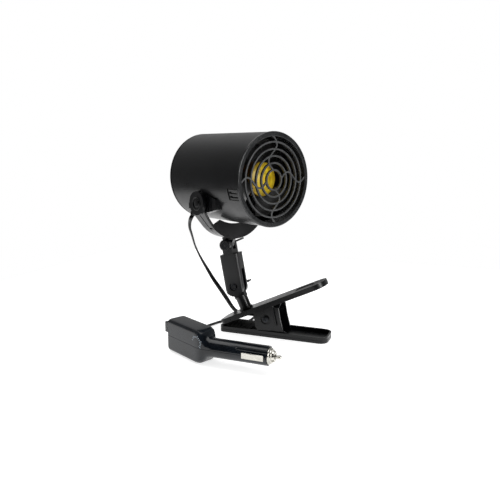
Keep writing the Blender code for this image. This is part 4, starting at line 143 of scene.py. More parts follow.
def finish(name, look):
    # A moulded or plated surface: two close shades, uneven gloss, grain and fine scuffs
    made = bpy.data.materials.new(name)
    made.use_nodes = True
    tree = made.node_tree
    shader = tree.nodes["Principled BSDF"]
    shader.inputs["Metallic"].default_value = look.get("metal", 0.0)
    if "ior" in look:
        shader.inputs["IOR"].default_value = look["ior"]
    place = addNode(tree, "ShaderNodeTexCoord").outputs["Object"]
    cloud = addNode(tree, "ShaderNodeTexNoise",
                    {"Scale": 1 / (look["cloud"] * mm), "Detail": 4.0, "Roughness": 0.6},
                    {"Vector": place})
    stretch = addNode(tree, "ShaderNodeMapping",
                      {"Scale": Vector(wear["run"]), "Rotation": Vector(wear["slant"])},
                      {"Vector": place})
    scuff = addNode(tree, "ShaderNodeTexNoise",
                    {"Scale": 1 / (look.get("scuff", 5.0) * mm), "Detail": 6.0,
                     "Roughness": 0.7}, {"Vector": stretch.outputs["Vector"]})
    scuffEdge = addNode(tree, "ShaderNodeMapRange",
                        {"From Min": wear["begins"], "From Max": wear["full"],
                         "To Min": 0.0, "To Max": look.get("scuffShare", 0.5)},
                        {"Value": scuff.outputs["Fac"]})
    spread = addNode(tree, "ShaderNodeMapRange", {"From Min": 0.35, "From Max": 0.68},
                     {"Value": cloud.outputs["Fac"]})
    tone = addNode(tree, "ShaderNodeMix",
                   {"data_type": "RGBA", 6: toLinear(look["shade"]),
                    7: toLinear(look["bloom"])}, {0: spread.outputs["Result"]})
    worn = addNode(tree, "ShaderNodeMix",
                   {"data_type": "RGBA",
                    7: toLinear(look.get("scuffShade", look["bloom"]))},
                   {0: scuffEdge.outputs["Result"], 6: tone.outputs[2]})
    colour = worn.outputs[2]
    if "paintedShadeSpan" in look:
        # Painted shade: the colour darkens from one plane to another along a given axis
        along = addNode(tree, "ShaderNodeVectorMath", {"operation": "DOT_PRODUCT",
                                                       1: look["paintedShadeAxis"]}, {0: place})
        depth = addNode(tree, "ShaderNodeMapRange",
                        {"From Min": look["paintedShadeSpan"][0], "From Max": look["paintedShadeSpan"][1]},
                        {"Value": along.outputs["Value"]})
        paintedShade = addNode(tree, "ShaderNodeMix",
                        {"data_type": "RGBA", 7: toLinear(look["paintedShadeColour"])},
                        {0: depth.outputs["Result"], 6: colour})
        colour = paintedShade.outputs[2]
    tree.links.new(colour, shader.inputs["Base Color"])
    low, high = look["roughness"]
    gloss = addNode(tree, "ShaderNodeMapRange",
                    {"From Min": 0.3, "From Max": 0.7, "To Min": low, "To Max": high},
                    {"Value": cloud.outputs["Fac"]})
    rubbed = addNode(tree, "ShaderNodeMath",
                     {"operation": "MULTIPLY_ADD", 1: wear["dulls"]},
                     {0: scuffEdge.outputs["Result"], 2: gloss.outputs["Result"]})
    tree.links.new(rubbed.outputs["Value"], shader.inputs["Roughness"])
    grain = addNode(tree, "ShaderNodeTexNoise",
                    {"Scale": 1 / (look["grain"] * mm), "Detail": 3.0}, {"Vector": place})
    relief = addNode(tree, "ShaderNodeMath",
                     {"operation": "MULTIPLY_ADD", 1: wear["sinks"]},
                     {0: scuffEdge.outputs["Result"], 2: grain.outputs["Fac"]})
    bump = addNode(tree, "ShaderNodeBump",
                   {"Strength": wear["bump"], "Distance": look["depth"] * mm},
                   {"Height": relief.outputs["Value"]})
    tree.links.new(bump.outputs["Normal"], shader.inputs["Normal"])
    return made


# Satin ABS of the head and bracket: a fine spark-eroded grain makes its highlights soft
satinAbs = finish("satin moulded ABS", {
    "shade": "#07080A", "bloom": "#0D0E11", "scuffShade": "#1C1E22", "cloud": 26.0,
    "grain": 0.55, "depth": 0.05, "roughness": (0.27, 0.37), "ior": 1.46})
# Grille ABS: a dustier, greyer face whose edges have been rubbed lighter
grilleAbs = finish("dusty moulded ABS", {
    "shade": "#3A3B3C", "bloom": "#4E4F50", "scuffShade": "#767778", "cloud": 9.0,
    "grain": 0.5, "depth": 0.06, "roughness": (0.36, 0.5), "ior": 1.53})
# Rim ABS: a lighter, glossier copy of the housing's moulding; the lighter colour is painted
# highlight for the light its chamfered edge catches
rimAbsPaintedHighlight = finish("rim ABS with painted highlight", {
    "shade": "#232425", "bloom": "#313233", "scuffShade": "#3F4041", "cloud": 12.0,
    "scuffShare": 0.2, "grain": 0.5, "depth": 0.03, "roughness": (0.22, 0.3),
    "ior": 1.53})
# Polypropylene jaws: waxy, with shallow flow marks and handling scuffs
jawPlastic = finish("moulded polypropylene", {
    "shade": "#070809", "bloom": "#0D0E10", "scuffShade": "#1C1E21", "cloud": 18.0,
    "grain": 0.7, "depth": 0.05, "roughness": (0.24, 0.36), "ior": 1.41})
# Blue black ABS of the plug: sharp highlights, from a polished mould
plugPlastic = finish("polished blue black ABS", {
    "shade": "#0B0F14", "bloom": "#131920", "scuffShade": "#232A31", "cloud": 14.0,
    "grain": 1.4, "depth": 0.03, "roughness": (0.16, 0.26), "ior": 1.46})
# Yellow ABS rotor cup, pigmented through, turning brown behind its face as painted shade of
# the housing's interior
fanForward = headTurn @ Vector((1, 0, 0))
cupFace = fanForward.dot(fanPlace @ Vector((55.4 * mm, 0, 0)))  # front of the cup
yellowAbs = finish("yellow moulded ABS", {
    "paintedShadeSpan": (cupFace - 1.2 * mm, cupFace - 6.2 * mm), "paintedShadeAxis": fanForward,
    "paintedShadeColour": "#8A5A14", "shade": "#FFD21A", "bloom": "#FFE238",
    "scuffShade": "#DDB020", "cloud": 8.0, "grain": 0.6, "depth": 0.04,
    "roughness": (0.32, 0.42), "ior": 1.53})
# Black ABS blades: a soft sheen along their edges, and a trace of warm dust
bladeAbs = finish("black moulded ABS blade", {
    "shade": "#090908", "bloom": "#12110F", "scuffShade": "#22201C", "cloud": 7.0,
    "grain": 0.5, "depth": 0.04, "roughness": (0.3, 0.42), "ior": 1.53})
# Nitrile pads: dull, with a fine talc bloom
padRubber = finish("moulded nitrile rubber", {
    "shade": "#121212", "bloom": "#1E1E1D", "scuffShade": "#33332F", "cloud": 6.0,
    "grain": 0.35, "depth": 0.05, "roughness": (0.6, 0.78), "ior": 1.52})
# PVC cord: flexible and half glossy, with plasticiser bloom
cordVinyl = finish("extruded PVC", {
    "shade": "#0A0A0B", "bloom": "#111113", "scuffShade": "#1E1F21", "cloud": 11.0,
    "grain": 0.9, "depth": 0.03, "roughness": (0.36, 0.5), "ior": 1.53})
# Bright nickel on the contacts and tip: a clear shine, broken by drawing lines
nickelPlate = finish("bright nickel plated brass", {
    "shade": "#BDBBB4", "bloom": "#D6D4CC", "scuffShade": "#8F8C84", "cloud": 3.0,
    "metal": 1.0, "grain": 0.3, "depth": 0.01, "roughness": (0.16, 0.3),
    "scuff": 2.0})
# Black zinc on the clamp nuts and screws: dark, with grey rubbed corners
blackZinc = finish("black zinc plated steel", {
    "shade": "#2A2B2D", "bloom": "#3C3E41", "scuffShade": "#6F7174", "cloud": 2.5,
    "metal": 1.0, "grain": 0.3, "depth": 0.02, "roughness": (0.34, 0.48),
    "scuff": 2.0})
# Bright zinc on the motor's can, screws and shaft: a cool, even, half-matt metal
zincSteel = finish("zinc plated drawn steel", {
    "shade": "#9EA2A6", "bloom": "#B7BBBE", "scuffShade": "#7B7F84", "cloud": 5.0,
    "metal": 1.0, "grain": 0.4, "depth": 0.01, "roughness": (0.22, 0.36),
    "scuff": 3.0})
# Oiled spring wire: a grey shine along the coils, browner in its scuffs
springSteel = finish("oiled spring steel wire", {
    "shade": "#6E7074", "bloom": "#8B8D90", "scuffShade": "#5A4A3C", "cloud": 3.0,
    "metal": 1.0, "grain": 0.3, "depth": 0.01, "roughness": (0.26, 0.4),
    "scuff": 1.5})
# Stamped brass of the motor's terminals: warm and bright, browner where it was rubbed
brass = finish("stamped brass", {
    "shade": "#B8964A", "bloom": "#CBAA5C", "scuffShade": "#8A6E36", "cloud": 3.0,
    "metal": 1.0, "grain": 0.3, "depth": 0.01, "roughness": (0.22, 0.36)})
# Sintered ferrite magnet: a dull dark grey, grainy like stone
ferrite = finish("sintered ferrite", {
    "shade": "#2B2C2E", "bloom": "#3A3B3D", "cloud": 2.0, "grain": 0.25,
    "depth": 0.04, "roughness": (0.5, 0.65)})
# Natural nylon end cap: milky and waxy, a little yellowed
nylon = finish("natural moulded nylon", {
    "shade": "#D9D3C0", "bloom": "#E5E0D0", "scuffShade": "#B9B29E", "cloud": 4.0,
    "grain": 0.4, "depth": 0.03, "roughness": (0.4, 0.5), "ior": 1.53})
# Enamelled copper of the armature: a deep reddish metal under a clear skin
copper = finish("enamelled copper winding", {
    "shade": "#8E4A22", "bloom": "#A85C2C", "scuffShade": "#5E2E14", "cloud": 1.5,
    "metal": 1.0, "grain": 0.35, "depth": 0.05, "roughness": (0.26, 0.38)})
# Pressed graphite brushes: nearly black, with a faint sheen
graphite = finish("pressed graphite", {
    "shade": "#1B1B1C", "bloom": "#2A2A2B", "cloud": 1.0, "grain": 0.2,
    "depth": 0.02, "roughness": (0.42, 0.55)})
# Fuse: pale polished glass, the smoothest surface inside the plug
fuseGlass = finish("fuse glass over its caps", {
    "shade": "#C9D2D2", "bloom": "#DDE4E4", "cloud": 4.0, "grain": 1.0,
    "depth": 0.01, "roughness": (0.08, 0.14), "ior": 1.5})
# Red PVC sleeve of the live wire: saturated and half glossy
redPvc = finish("red PVC wire sleeve", {
    "shade": "#8E1512", "bloom": "#A41E19", "cloud": 4.0, "grain": 0.6,
    "depth": 0.02, "roughness": (0.4, 0.5), "ior": 1.53})
# Pad-printed ink of the dial: flat, pale and a little worn
dialInk = finish("pale pad-printed ink", {
    "shade": "#A3B0BC", "bloom": "#B9C4CE", "scuffShade": "#76828D", "cloud": 2.0,
    "grain": 0.3, "depth": 0.01, "roughness": (0.4, 0.55)})
print("materials are ready")


# Making pieces
def addPiece(name, mesh, material, body, replaced=(), edgeAngle=35):
    made = bpy.data.objects.new(name, mesh)
    scene.collection.objects.link(made)
    mesh.materials.clear()
    mesh.materials.append(material)
    mesh.shade_smooth()
    mesh.set_sharp_from_angle(angle=math.radians(edgeAngle))
    flatter = made.modifiers.new("flat faces", "WEIGHTED_NORMAL")
    flatter.keep_sharp = True
    if body:
        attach(made, body)
    if replaced:
        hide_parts(*replaced)
    return made


def inOrder(shape):
    # The operators leave their parts in an order that varies from run to run
    def spot(middle):
        x, y, z = (round(100 * value / mm) for value in middle)
        return (x * 1e5 + y) * 1e5 + z

    shape.verts.sort(key=lambda vert: spot(vert.co))
    shape.edges.sort(key=lambda edge: spot((edge.verts[0].co + edge.verts[1].co) / 2))
    shape.faces.sort(key=lambda face: spot(face.calc_center_median()))


def softenEdges(shape, width, segments=2, angle=28):
    inOrder(shape)
    limit = math.radians(angle)
    edges = [edge for edge in shape.edges
             if edge.is_manifold and edge.calc_face_angle(0) > limit]
    bmesh.ops.bevel(shape, geom=edges, offset=width * mm, offset_type="OFFSET",
                    segments=segments, profile=0.5, affect="EDGES", material=-1,
                    clamp_overlap=True, loop_slide=True)


def dressed(node, width, material, cuts=(), extra=(), angle=35, segments=2, free=False):
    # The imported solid's own shape with its edges rounded as the mould leaves them
    body = None if free else nodes[node]["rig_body"]
    shape = bmesh.new()
    shape.from_mesh(nodes[node].data)
    bmesh.ops.remove_doubles(shape, verts=shape.verts, dist=0.002 * mm)
    bmesh.ops.dissolve_limit(shape, angle_limit=math.radians(0.8), verts=shape.verts,
                             edges=shape.edges)
    if cuts:
        shape = carved(shape, cuts)
    if width:
        softenEdges(shape, width, segments)
    if extra:
        shape = gather([shape] + list(extra))
    return addPiece(node + "_finish", toMesh(shape, node + "_finish"), material, body,
                    (node,), angle)


# Shapes to build with, in mm until they are placed
def spun(profile, steps=72, closed=False, place=Matrix()):
    # Points of (along, radius) turned about the local X axis
    shape = bmesh.new()
    line = [shape.verts.new((along * mm, 0, radius * mm)) for along, radius in profile]
    pairs = list(zip(line, line[1:])) + ([(line[-1], line[0])] if closed else [])
    rims = [shape.edges.new(pair) for pair in pairs]
    bmesh.ops.spin(shape, geom=line + rims, axis=(1, 0, 0), cent=(0, 0, 0),
                   angle=2 * math.pi, steps=steps, use_merge=True)
    bmesh.ops.remove_doubles(shape, verts=shape.verts, dist=0.001 * mm)
    bmesh.ops.recalc_face_normals(shape, faces=shape.faces)
    inOrder(shape)
    return placed(shape, place)


def block(low, high, place=Matrix(), rounding=0.0, segments=3):
    shape = bmesh.new()
    bmesh.ops.create_cube(shape, size=1.0)
    middle = (Vector(low) + Vector(high)) / 2 * mm
    span = (Vector(high) - Vector(low)) * mm
    bmesh.ops.scale(shape, vec=span, verts=shape.verts)
    bmesh.ops.translate(shape, vec=middle, verts=shape.verts)
    if rounding:
        softenEdges(shape, rounding, segments)
    return placed(shape, place)


def thicken(sheet, way):
    # An open sheet pushed along a vector into a closed shape
    pushed = bmesh.ops.extrude_face_region(sheet, geom=sheet.faces[:])["geom"]
    bmesh.ops.translate(sheet, vec=way, verts=[v for v in pushed
                                               if isinstance(v, bmesh.types.BMVert)])
    bmesh.ops.recalc_face_normals(sheet, faces=sheet.faces)


def slab(outline, axis, low, high, place=Matrix()):
    # A flat outline pushed along one axis
    shape = bmesh.new()
    spread = {"X": lambda a, b: (low, a, b), "Y": lambda a, b: (a, low, b),
              "Z": lambda a, b: (a, b, low)}[axis]
    shape.faces.new([shape.verts.new(Vector(spread(a, b)) * mm) for a, b in outline])
    thicken(shape, Vector([high - low if axis == letter else 0
                           for letter in "XYZ"]) * mm)
    return placed(shape, place)


def sideSpan(side, reach):
    # A reach out from the middle, on one side, in rising order
    return sorted((side * reach[0], side * reach[1]))


def sideBlock(side, along, reach, up, place=Matrix(), rounding=0.0):
    low, high = sideSpan(side, reach)
    return block((along[0], low, up[0]), (along[1], high, up[1]), place, rounding)


def gather(shapes):
    # Several closed shapes in one mesh
    whole = bmesh.new()
    for shape in shapes:
        part = bpy.data.meshes.new("part")
        shape.to_mesh(part)
        shape.free()
        whole.from_mesh(part)
        bpy.data.meshes.remove(part)
    return whole


def placed(shape, place):
    bmesh.ops.transform(shape, matrix=place, verts=shape.verts)
    return shape


def toMesh(shape, name):
    mesh = bpy.data.meshes.new(name)
    shape.to_mesh(mesh)
    shape.free()
    return mesh


def carved(shape, cuts, joins=()):
    # Joins and then cuts, worked out exactly, and read back as one shape
    target = bpy.data.objects.new("blank", toMesh(shape, "blank"))
    scene.collection.objects.link(target)
    steps = [("UNION", join) for join in joins] + [("DIFFERENCE", cut) for cut in cuts]
    for operation, toolShape in steps:
        tool = bpy.data.objects.new("tool", toMesh(toolShape, "tool"))
        scene.collection.objects.link(tool)
        step = target.modifiers.new("carve", "BOOLEAN")
        step.operation = operation
        step.solver = "EXACT"
        step.object = tool
        graph = bpy.context.evaluated_depsgraph_get()
        result = bpy.data.meshes.new_from_object(target.evaluated_get(graph))
        target.modifiers.clear()
        target.data = result
        bpy.data.objects.remove(tool, do_unlink=True)
    made = bmesh.new()
    made.from_mesh(target.data)
    bpy.data.objects.remove(target, do_unlink=True)
    bmesh.ops.remove_doubles(made, verts=made.verts, dist=0.002 * mm)
    bmesh.ops.dissolve_limit(made, angle_limit=math.radians(0.5), verts=made.verts,
                             edges=made.edges)
    return made


def crossHead(radius, thick, place, length=0.0, shank=0.0):
    # A pan head whose crown carries a cross recess, facing the local +X
    crown = spun([(0, 0), (0, radius), (thick * 0.45, radius), (thick * 0.85, radius * 0.8),
                  (thick, radius * 0.45), (thick, 0)], 32)
    arm, wide = radius * 0.62, radius * 0.2
    made = carved(crown, [block((thick * 0.4, -a, -b), (thick * 1.4, a, b))
                          for a, b in ((arm, wide), (wide, arm))])
    if length:
        made = gather([made, spun([(0.01, 0), (0.01, shank), (-length, shank * 0.9),
                                   (-length, 0)], 16)])
    return placed(made, place)


# Cord: from the head's gland, through its wound spare length, to the plug
cordLead = {
    "radius": 1.6, "coilX": 7.412, "coilY": 51.884, "coilRadius": 21.4, "pitch": 3.66,
    "layers": 4, "turns": 8.75, "pointsInTurn": 24, "top": 13.58, "between": 3,
    "broad": (5.4, 3.45), "deep": (2.4, 3.0), "woundFrom": 4, "easeOver": 12,
    "flat": (0.934, 0.358, 0), "around": 16, "waist": 0.3, "waistWide": 2.4,
    "drop": [(-75.47, -5.25, 144.55), (-76.41, -6.98, 141.63), (-80.17, -2.66, 136.04),
             (-81.26, -0.63, 128.48), (-79.99, 1.43, 120.86), (-78.63, 3.15, 113.15),
             (-77.04, 4.71, 105.46), (-74.31, 5.99, 98.03), (-71.17, 7.38, 90.79),
             (-68.36, 9.77, 83.68), (-65.7, 12.77, 76.74), (-62.82, 15.44, 69.75),
             (-59.76, 17.88, 62.76), (-56.32, 20.3, 55.93), (-52.6, 22.69, 49.24),
             (-49.03, 25.18, 42.51), (-45.73, 27.86, 35.71), (-42.43, 30.39, 28.86),
             (-38.92, 32.56, 22.0), (-33.71, 33.53, 16.05), (-26.39, 32.1, 13.7),
             (-18.42, 31.3, 13.48), (-10.41, 30.88, 13.52), (-2.41, 30.48, 13.58)],
    "lead": [(-13.99, 42.06, 2.6), (-15.97, 34.28, 2.36), (-22.4, 29.65, 1.87),
             (-30.44, 28.52, 1.9), (-38.54, 28.05, 1.9), (-45.96, 25.13, 1.9),
             (-50.82, 18.73, 1.9), (-53.67, 11.13, 1.9), (-56.48, 3.51, 1.9),
             (-58.82, -4.26, 1.9), (-60.15, -12.25, 1.9), (-58.76, -20.22, 1.9),
             (-55.18, -27.48, 1.9), (-49.62, -33.39, 1.9), (-44.28, -39.5, 1.84),
             (-39.59, -46.11, 1.9), (-37.18, -53.73, 3.13), (-36.24, -61.22, 6.0),
             (-37.89, -64.32, 6.0)]}


def coilPoints(cord):
    points = []
    steps = round(cord["turns"] * cord["pointsInTurn"])
    layerTurns = cord["turns"] / cord["layers"]
    for i in range(steps + 1):
        turns = cord["turns"] * i / steps
        layer = min(int(turns / layerTurns), cord["layers"] - 1)
        way = turns - layer * layerTurns
        left = layerTurns - way
        inward = way if layer % 2 == 0 else left
        radius = cord["coilRadius"] - cord["pitch"] * inward
        height = cord["top"] - cord["pitch"] * layer
        # A quarter turn each side of a reversal carries the cord to the next layer
        if layer > 0 and way < 0.25:
            height += cord["pitch"] * (0.5 - 0.5 * math.sin(2 * math.pi * way))
        if layer < cord["layers"] - 1 and left < 0.25:
            height -= cord["pitch"] * (0.5 - 0.5 * math.sin(2 * math.pi * left))
        angle = 2 * math.pi * turns - math.pi / 2
        points.append((cord["coilX"] + radius * math.cos(angle),
                       cord["coilY"] + radius * math.sin(angle), height))
    return points


def smoothLine(points, between):
    # A Catmull-Rom line through the points, in mm
    line = []
    knots = [Vector(point) for point in points]
    for i in range(len(knots) - 1):
        before, after = knots[max(i - 1, 0)], knots[min(i + 2, len(knots) - 1)]
        a, b = knots[i], knots[i + 1]
        for step in range(between):
            t = step / between
            line.append(a * (2 - 5 * t * t + 3 * t ** 3) / 2
                        + before * (-t + 2 * t * t - t ** 3) / 2
                        + b * (t + 4 * t * t - 3 * t ** 3) / 2
                        + after * (t ** 3 - t * t) / 2)
    return line + [knots[-1]]


# Flat twin lead: widest where it hangs, half round where it was wound
cordLine = smoothLine(cordLead["drop"] + coilPoints(cordLead) + cordLead["lead"],
                      cordLead["between"])
hang = cordLead["between"] * (len(cordLead["drop"]) - cordLead["woundFrom"])
around = cordLead["around"]
lead = bmesh.new()
across = Vector(cordLead["flat"])
rings = []
for i, point in enumerate(cordLine):
    ahead = cordLine[min(i + 1, len(cordLine) - 1)] - cordLine[max(i - 1, 0)]
    ahead.normalize()
    across = (across - ahead * across.dot(ahead)).normalized()
    share = min(max((i - hang) / cordLead["easeOver"], 0), 1)
    broad, deep = (start + (end - start) * share
                   for start, end in (cordLead["broad"], cordLead["deep"]))
    beside = Matrix.Rotation(math.pi * min(i / hang, 1), 3, ahead) @ across
    upward = ahead.cross(beside)
    ring = []
    for k in range(around):
        angle = 2 * math.pi * k / around
        dip = max(0, 1 - cordLead["waistWide"] * abs(math.cos(angle)))
        waist = 1 - cordLead["waist"] * dip
        ring.append(lead.verts.new((point + beside * broad / 2 * math.cos(angle)
                                    + upward * deep / 2 * math.sin(angle) * waist) * mm))
    rings.append(ring)
for first, second in zip(rings, rings[1:]):
    for k in range(around):
        lead.faces.new((first[k - 1], first[k], second[k], second[k - 1]))
lead.faces.new(rings[0])
lead.faces.new(rings[-1][::-1])
bmesh.ops.recalc_face_normals(lead, faces=lead.faces)
cord = addPiece("cord", toMesh(lead, "cord"), cordVinyl, "clip_base",
                ("cord_drop", "cord_coil", "cord_lead"), 50)
print("cord is laid")

# Head: a tube with a boss and a ribbed web at each ear, and a latch window each side
headBody = {
    "radius": 53.0, "bore": 50.8, "rear": -58.9, "front": 69.9, "round": 1.6, "lip": 0.3,
    "overcut": 3.0, "edge": 0.25, "steps": 112,
    "boss": {"root": 40.0, "radius": 13.5, "shoulder": 45.5, "face": 51.4,
             "faceRadius": 7.5, "easeDeep": 0.4, "easeWide": 0.45, "hole": 2.3,
             "holeEnd": 54.0},
    "web": {"outline": [(3, -12.6), (28, -6), (28, 6), (3, 12.6)], "reach": (40.6, 50.8),
            "ribs": (9.0, 14.5, 20.0), "ribHalf": 0.7, "ribReach": (49.0, 51.4),
            "ribStart": 3.0, "ribTall": 12.6, "ribTaper": 0.264},
    "window": {"along": (51.6, 68.6), "up": (-21.05, -8.55), "reach": (44.0, 55.0)},
    "post": {"rear": -60.1, "front": -45.1, "bore": 1.7, "radius": 3.5, "ease": 0.2,
             "ring": 43.5, "web": (-54.2, -45.7), "webHalf": 1.5,
             "webReach": (46.6, 51.6)}}
boss, web, window, post = (headBody[part] for part in ("boss", "web", "window", "post"))
rear, front, wide = headBody["rear"], headBody["front"], headBody["radius"]
ease, lip, bore = headBody["round"], headBody["lip"], headBody["bore"]
tube = spun([(rear, bore), (rear, wide - ease), (rear + ease * 0.3, wide - ease * 0.3),
             (rear + ease, wide), (front - lip, wide), (front, wide - lip), (front, bore)],
            headBody["steps"], True, fanPlace)
joins = []
for name, side in sides.items():
    joins.append(spun([
        (boss["root"], 0), (boss["root"], boss["radius"]), (boss["shoulder"], boss["radius"]),
        (boss["face"] - boss["easeDeep"], boss["faceRadius"] + boss["easeWide"]),
        (boss["face"], boss["faceRadius"]), (boss["face"], 0)], 56,
        place=tiltPlace @ turnTo[name]))
    joins.append(slab(web["outline"], "Y", *sideSpan(side, web["reach"]), tiltPlace))
    for along in web["ribs"]:
        tall = web["ribTall"] - (along - web["ribStart"]) * web["ribTaper"]
        joins.append(sideBlock(side, (along - web["ribHalf"], along + web["ribHalf"]),
                               web["ribReach"], (-tall, tall), tiltPlace))
over = headBody["overcut"]
cuts = [spun([(rear - over, 0), (rear - over, bore), (front + over, bore),
              (front + over, 0)], headBody["steps"], False, fanPlace)]
for name, side in sides.items():
    cuts.append(sideBlock(side, window["along"], window["reach"], window["up"], fanPlace))
    cuts.append(spun([(boss["root"], 0), (boss["root"], boss["hole"]),
                      (boss["holeEnd"], boss["hole"]), (boss["holeEnd"], 0)], 24,
                     place=tiltPlace @ turnTo[name]))
body = carved(tube, cuts, joins)
softenEdges(body, headBody["edge"], 2, 40)
posts, postWebs = [], []
for side in sides.values():
    posts.append(spun([
        (post["rear"], post["bore"]),
        (post["rear"], post["radius"] - post["ease"]),
        (post["rear"] + post["ease"], post["radius"]),
        (post["front"], post["radius"]), (post["front"], post["bore"])],
        24, True, fanPlace @ at(0, 0, side * post["ring"])))
    low, high = sideSpan(side, post["webReach"])
    postWebs.append(block((post["web"][0], -post["webHalf"], low),
                          (post["web"][1], post["webHalf"], high), fanPlace))
addPiece("head_body", toMesh(gather([body] + posts + postWebs), "head_body"), satinAbs,
         "head", ("body_shell",), 30)

# Grille: a rim with its skirt, then rings and waved spokes, with every edge rounded
rim = {"outer": 53.5, "opening": 48.1, "skirt": 50.5, "skirtWall": 2.0, "skirtRear": 52.0,
       "rear": 70.2, "outerRound": [(70.9, 0), (71.4, 0.25), (71.8, 0.7), (72.0, 1.3)],
       "innerRound": [(72.0, 0.4), (71.8, 0.1), (71.3, 0)]}
grille = {"ring": 11.1, "step": 7.72, "rings": 5, "wire": 2.0, "front": 71.4, "back": 68.8,
          "round": 0.45, "spokes": 4, "spokeWire": 1.9, "spokeBack": 69.1,
          "spokeDeep": 2.25, "spokeEnd": 49.1, "spokeRound": 0.4, "wave": 6.1,
          "waveLength": 37.0, "crest": 21.0, "offset": 2.3}
profile = [(rim["skirtRear"], rim["skirt"]), (rim["rear"], rim["skirt"]),
           (rim["rear"], rim["outer"])]
profile += [(along, rim["outer"] - drop) for along, drop in rim["outerRound"]]
profile += [(along, rim["opening"] + rise) for along, rise in rim["innerRound"]]
profile.append((rim["skirtRear"], rim["skirt"] - rim["skirtWall"]))
rimShape = spun(profile, headBody["steps"], True, fanPlace)
wires = []
half, soft = grille["wire"] / 2, grille["round"]
back, front = grille["back"], grille["front"]
for i in range(grille["rings"]):
    outer = grille["ring"] + i * grille["step"] + half
    inner = grille["ring"] + i * grille["step"] - half
    wires.append(spun([(back, inner), (back, outer), (front - soft, outer),
                       (front - soft * 0.3, outer - soft * 0.3), (front, outer - soft),
                       (front, inner + soft), (front - soft * 0.3, inner + soft * 0.3),
                       (front - soft, inner)], 96, True, fanPlace))
for i in range(grille["spokes"]):
    bar = bmesh.new()
    bmesh.ops.create_grid(bar, x_segments=36, y_segments=1, size=0.5)
    for vert in bar.verts:
        reach = grille["ring"] + (grille["spokeEnd"] - grille["ring"]) * (vert.co.x + 0.5)
        phase = 2 * math.pi * (reach - grille["crest"]) / grille["waveLength"]
        slope = -grille["wave"] * math.sin(phase) * 2 * math.pi / grille["waveLength"]
        beside = Vector((-slope, 1)).normalized() * grille["spokeWire"] * vert.co.y
        height = grille["offset"] + grille["wave"] * math.cos(phase)
        vert.co = Vector((grille["spokeBack"], reach + beside.x, height + beside.y)) * mm
    thicken(bar, (grille["spokeDeep"] * mm, 0, 0))
    softenEdges(bar, grille["spokeRound"], 2, 50)
    wires.append(placed(bar, fanPlace @ turned(i * 360 / grille["spokes"], "X")))
# Latch tabs in the body's windows, grooved across for the thumb
latchTab = {"along": (52.1, 68.1), "up": (-20.55, -9.05), "radius": (49.6, 52.3),
            "groove": (53.6, 66.6), "grooveUp": ((-13.7, -11.5), (-18.3, -16.1)),
            "grooveReach": (47.6, 54.0), "edge": 0.25}
tabs = []
for side in sides.values():
    tab = bmesh.new()
    bmesh.ops.create_cube(tab, size=1.0)
    for vert in tab.verts:
        along = latchTab["along"][vert.co.x > 0]
        up = latchTab["up"][vert.co.z > 0]
        radius = latchTab["radius"][vert.co.y > 0]
        vert.co = Vector((along, side * math.sqrt(radius ** 2 - up ** 2), up)) * mm
    bmesh.ops.recalc_face_normals(tab, faces=tab.faces)
    tab = carved(tab, [sideBlock(side, latchTab["groove"], latchTab["grooveReach"], up)
                       for up in latchTab["grooveUp"]])
    softenEdges(tab, latchTab["edge"], 2, 30)
    tabs.append(placed(tab, fanPlace))
addPiece("grille_rim", toMesh(rimShape, "grille_rim"), rimAbsPaintedHighlight, "head", (), 30)
addPiece("grille", toMesh(gather(wires), "grille"), grilleAbs, "head",
         ("front_grille",), 40)
addPiece("latch_tabs", toMesh(gather(tabs), "latch_tabs"), satinAbs, "head", (), 30)

# Rotor: a yellow domed cup on the shaft, with dark blades, wide and slightly dished
rotor = {"hub": 20.0, "face": 55.4, "back": 35.4, "wall": 1.8, "edge": 0.3,
         "dome": [(0, 0), (0.15, 4), (0.6, 8), (1.4, 12), (2.3, 15.3), (3.2, 17.8),
                  (4.1, 19.4)], "shoulder": 5.2, "ceiling": 5.6, "socketTop": 4.2,
         "socketEnd": 14.0, "socket": (4.5, 4.3), "shaft": 1.7, "shaftTop": 1.6,
         "blades": 3, "tip": 46.5, "thick": 1.5, "deep": 17.0, "rootSweep": 62,
         "tipSweep": 74, "lean": 8, "camber": 1.8, "bladeRound": 0.5}
face, back, hub = rotor["face"], rotor["back"], rotor["hub"]
inside = hub - rotor["wall"]
cup = spun([(face - drop, radius) for drop, radius in rotor["dome"]]
           + [(face - rotor["shoulder"], hub), (back + rotor["edge"], hub),
              (back, hub - rotor["edge"]), (back, inside),
              (face - rotor["ceiling"], inside),
              (face - rotor["socketTop"], rotor["socket"][0]),
              (face - rotor["socketEnd"], rotor["socket"][1]),
              (face - rotor["socketEnd"], rotor["shaft"]),
              (face - rotor["shaftTop"], rotor["shaft"]),
              (face - rotor["shaftTop"], 0)], 96, False, fanPlace)
addPiece("rotor_cup", toMesh(cup, "rotor_cup"), yellowAbs, "rotor", ("fan_rotor",), 32)
root = hub - rotor["wall"] / 2
blades = []
for i in range(rotor["blades"]):
    blade = bmesh.new()
    bmesh.ops.create_grid(blade, x_segments=14, y_segments=18, size=0.5)
    for vert in blade.verts:
        span, chord = vert.co.x + 0.5, vert.co.y + 0.5
        sweep = rotor["rootSweep"] + (rotor["tipSweep"] - rotor["rootSweep"]) * span
        angle = math.radians(180 + i * 360 / rotor["blades"] + rotor["lean"] * span
                             + (chord - 0.5) * sweep)
        along = (face + back) / 2 + (chord - 0.5) * rotor["deep"]
        along += rotor["camber"] * math.sin(math.pi * chord) - rotor["thick"] / 2
        clipped = 1 - 0.10 * (2 * chord - 1) ** 4 * span  # rounds the tip's corners
        reach = root + (rotor["tip"] - root) * span * clipped
        vert.co = Vector((along, reach * math.cos(angle), reach * math.sin(angle))) * mm
    thicken(blade, (rotor["thick"] * mm, 0, 0))
    softenEdges(blade, rotor["bladeRound"], 3, 50)
    blades.append(placed(blade, fanPlace))
addPiece("rotor_blades", toMesh(gather(blades), "rotor_blades"), bladeAbs, "rotor", (), 40)
print("head, grille and rotor are made")

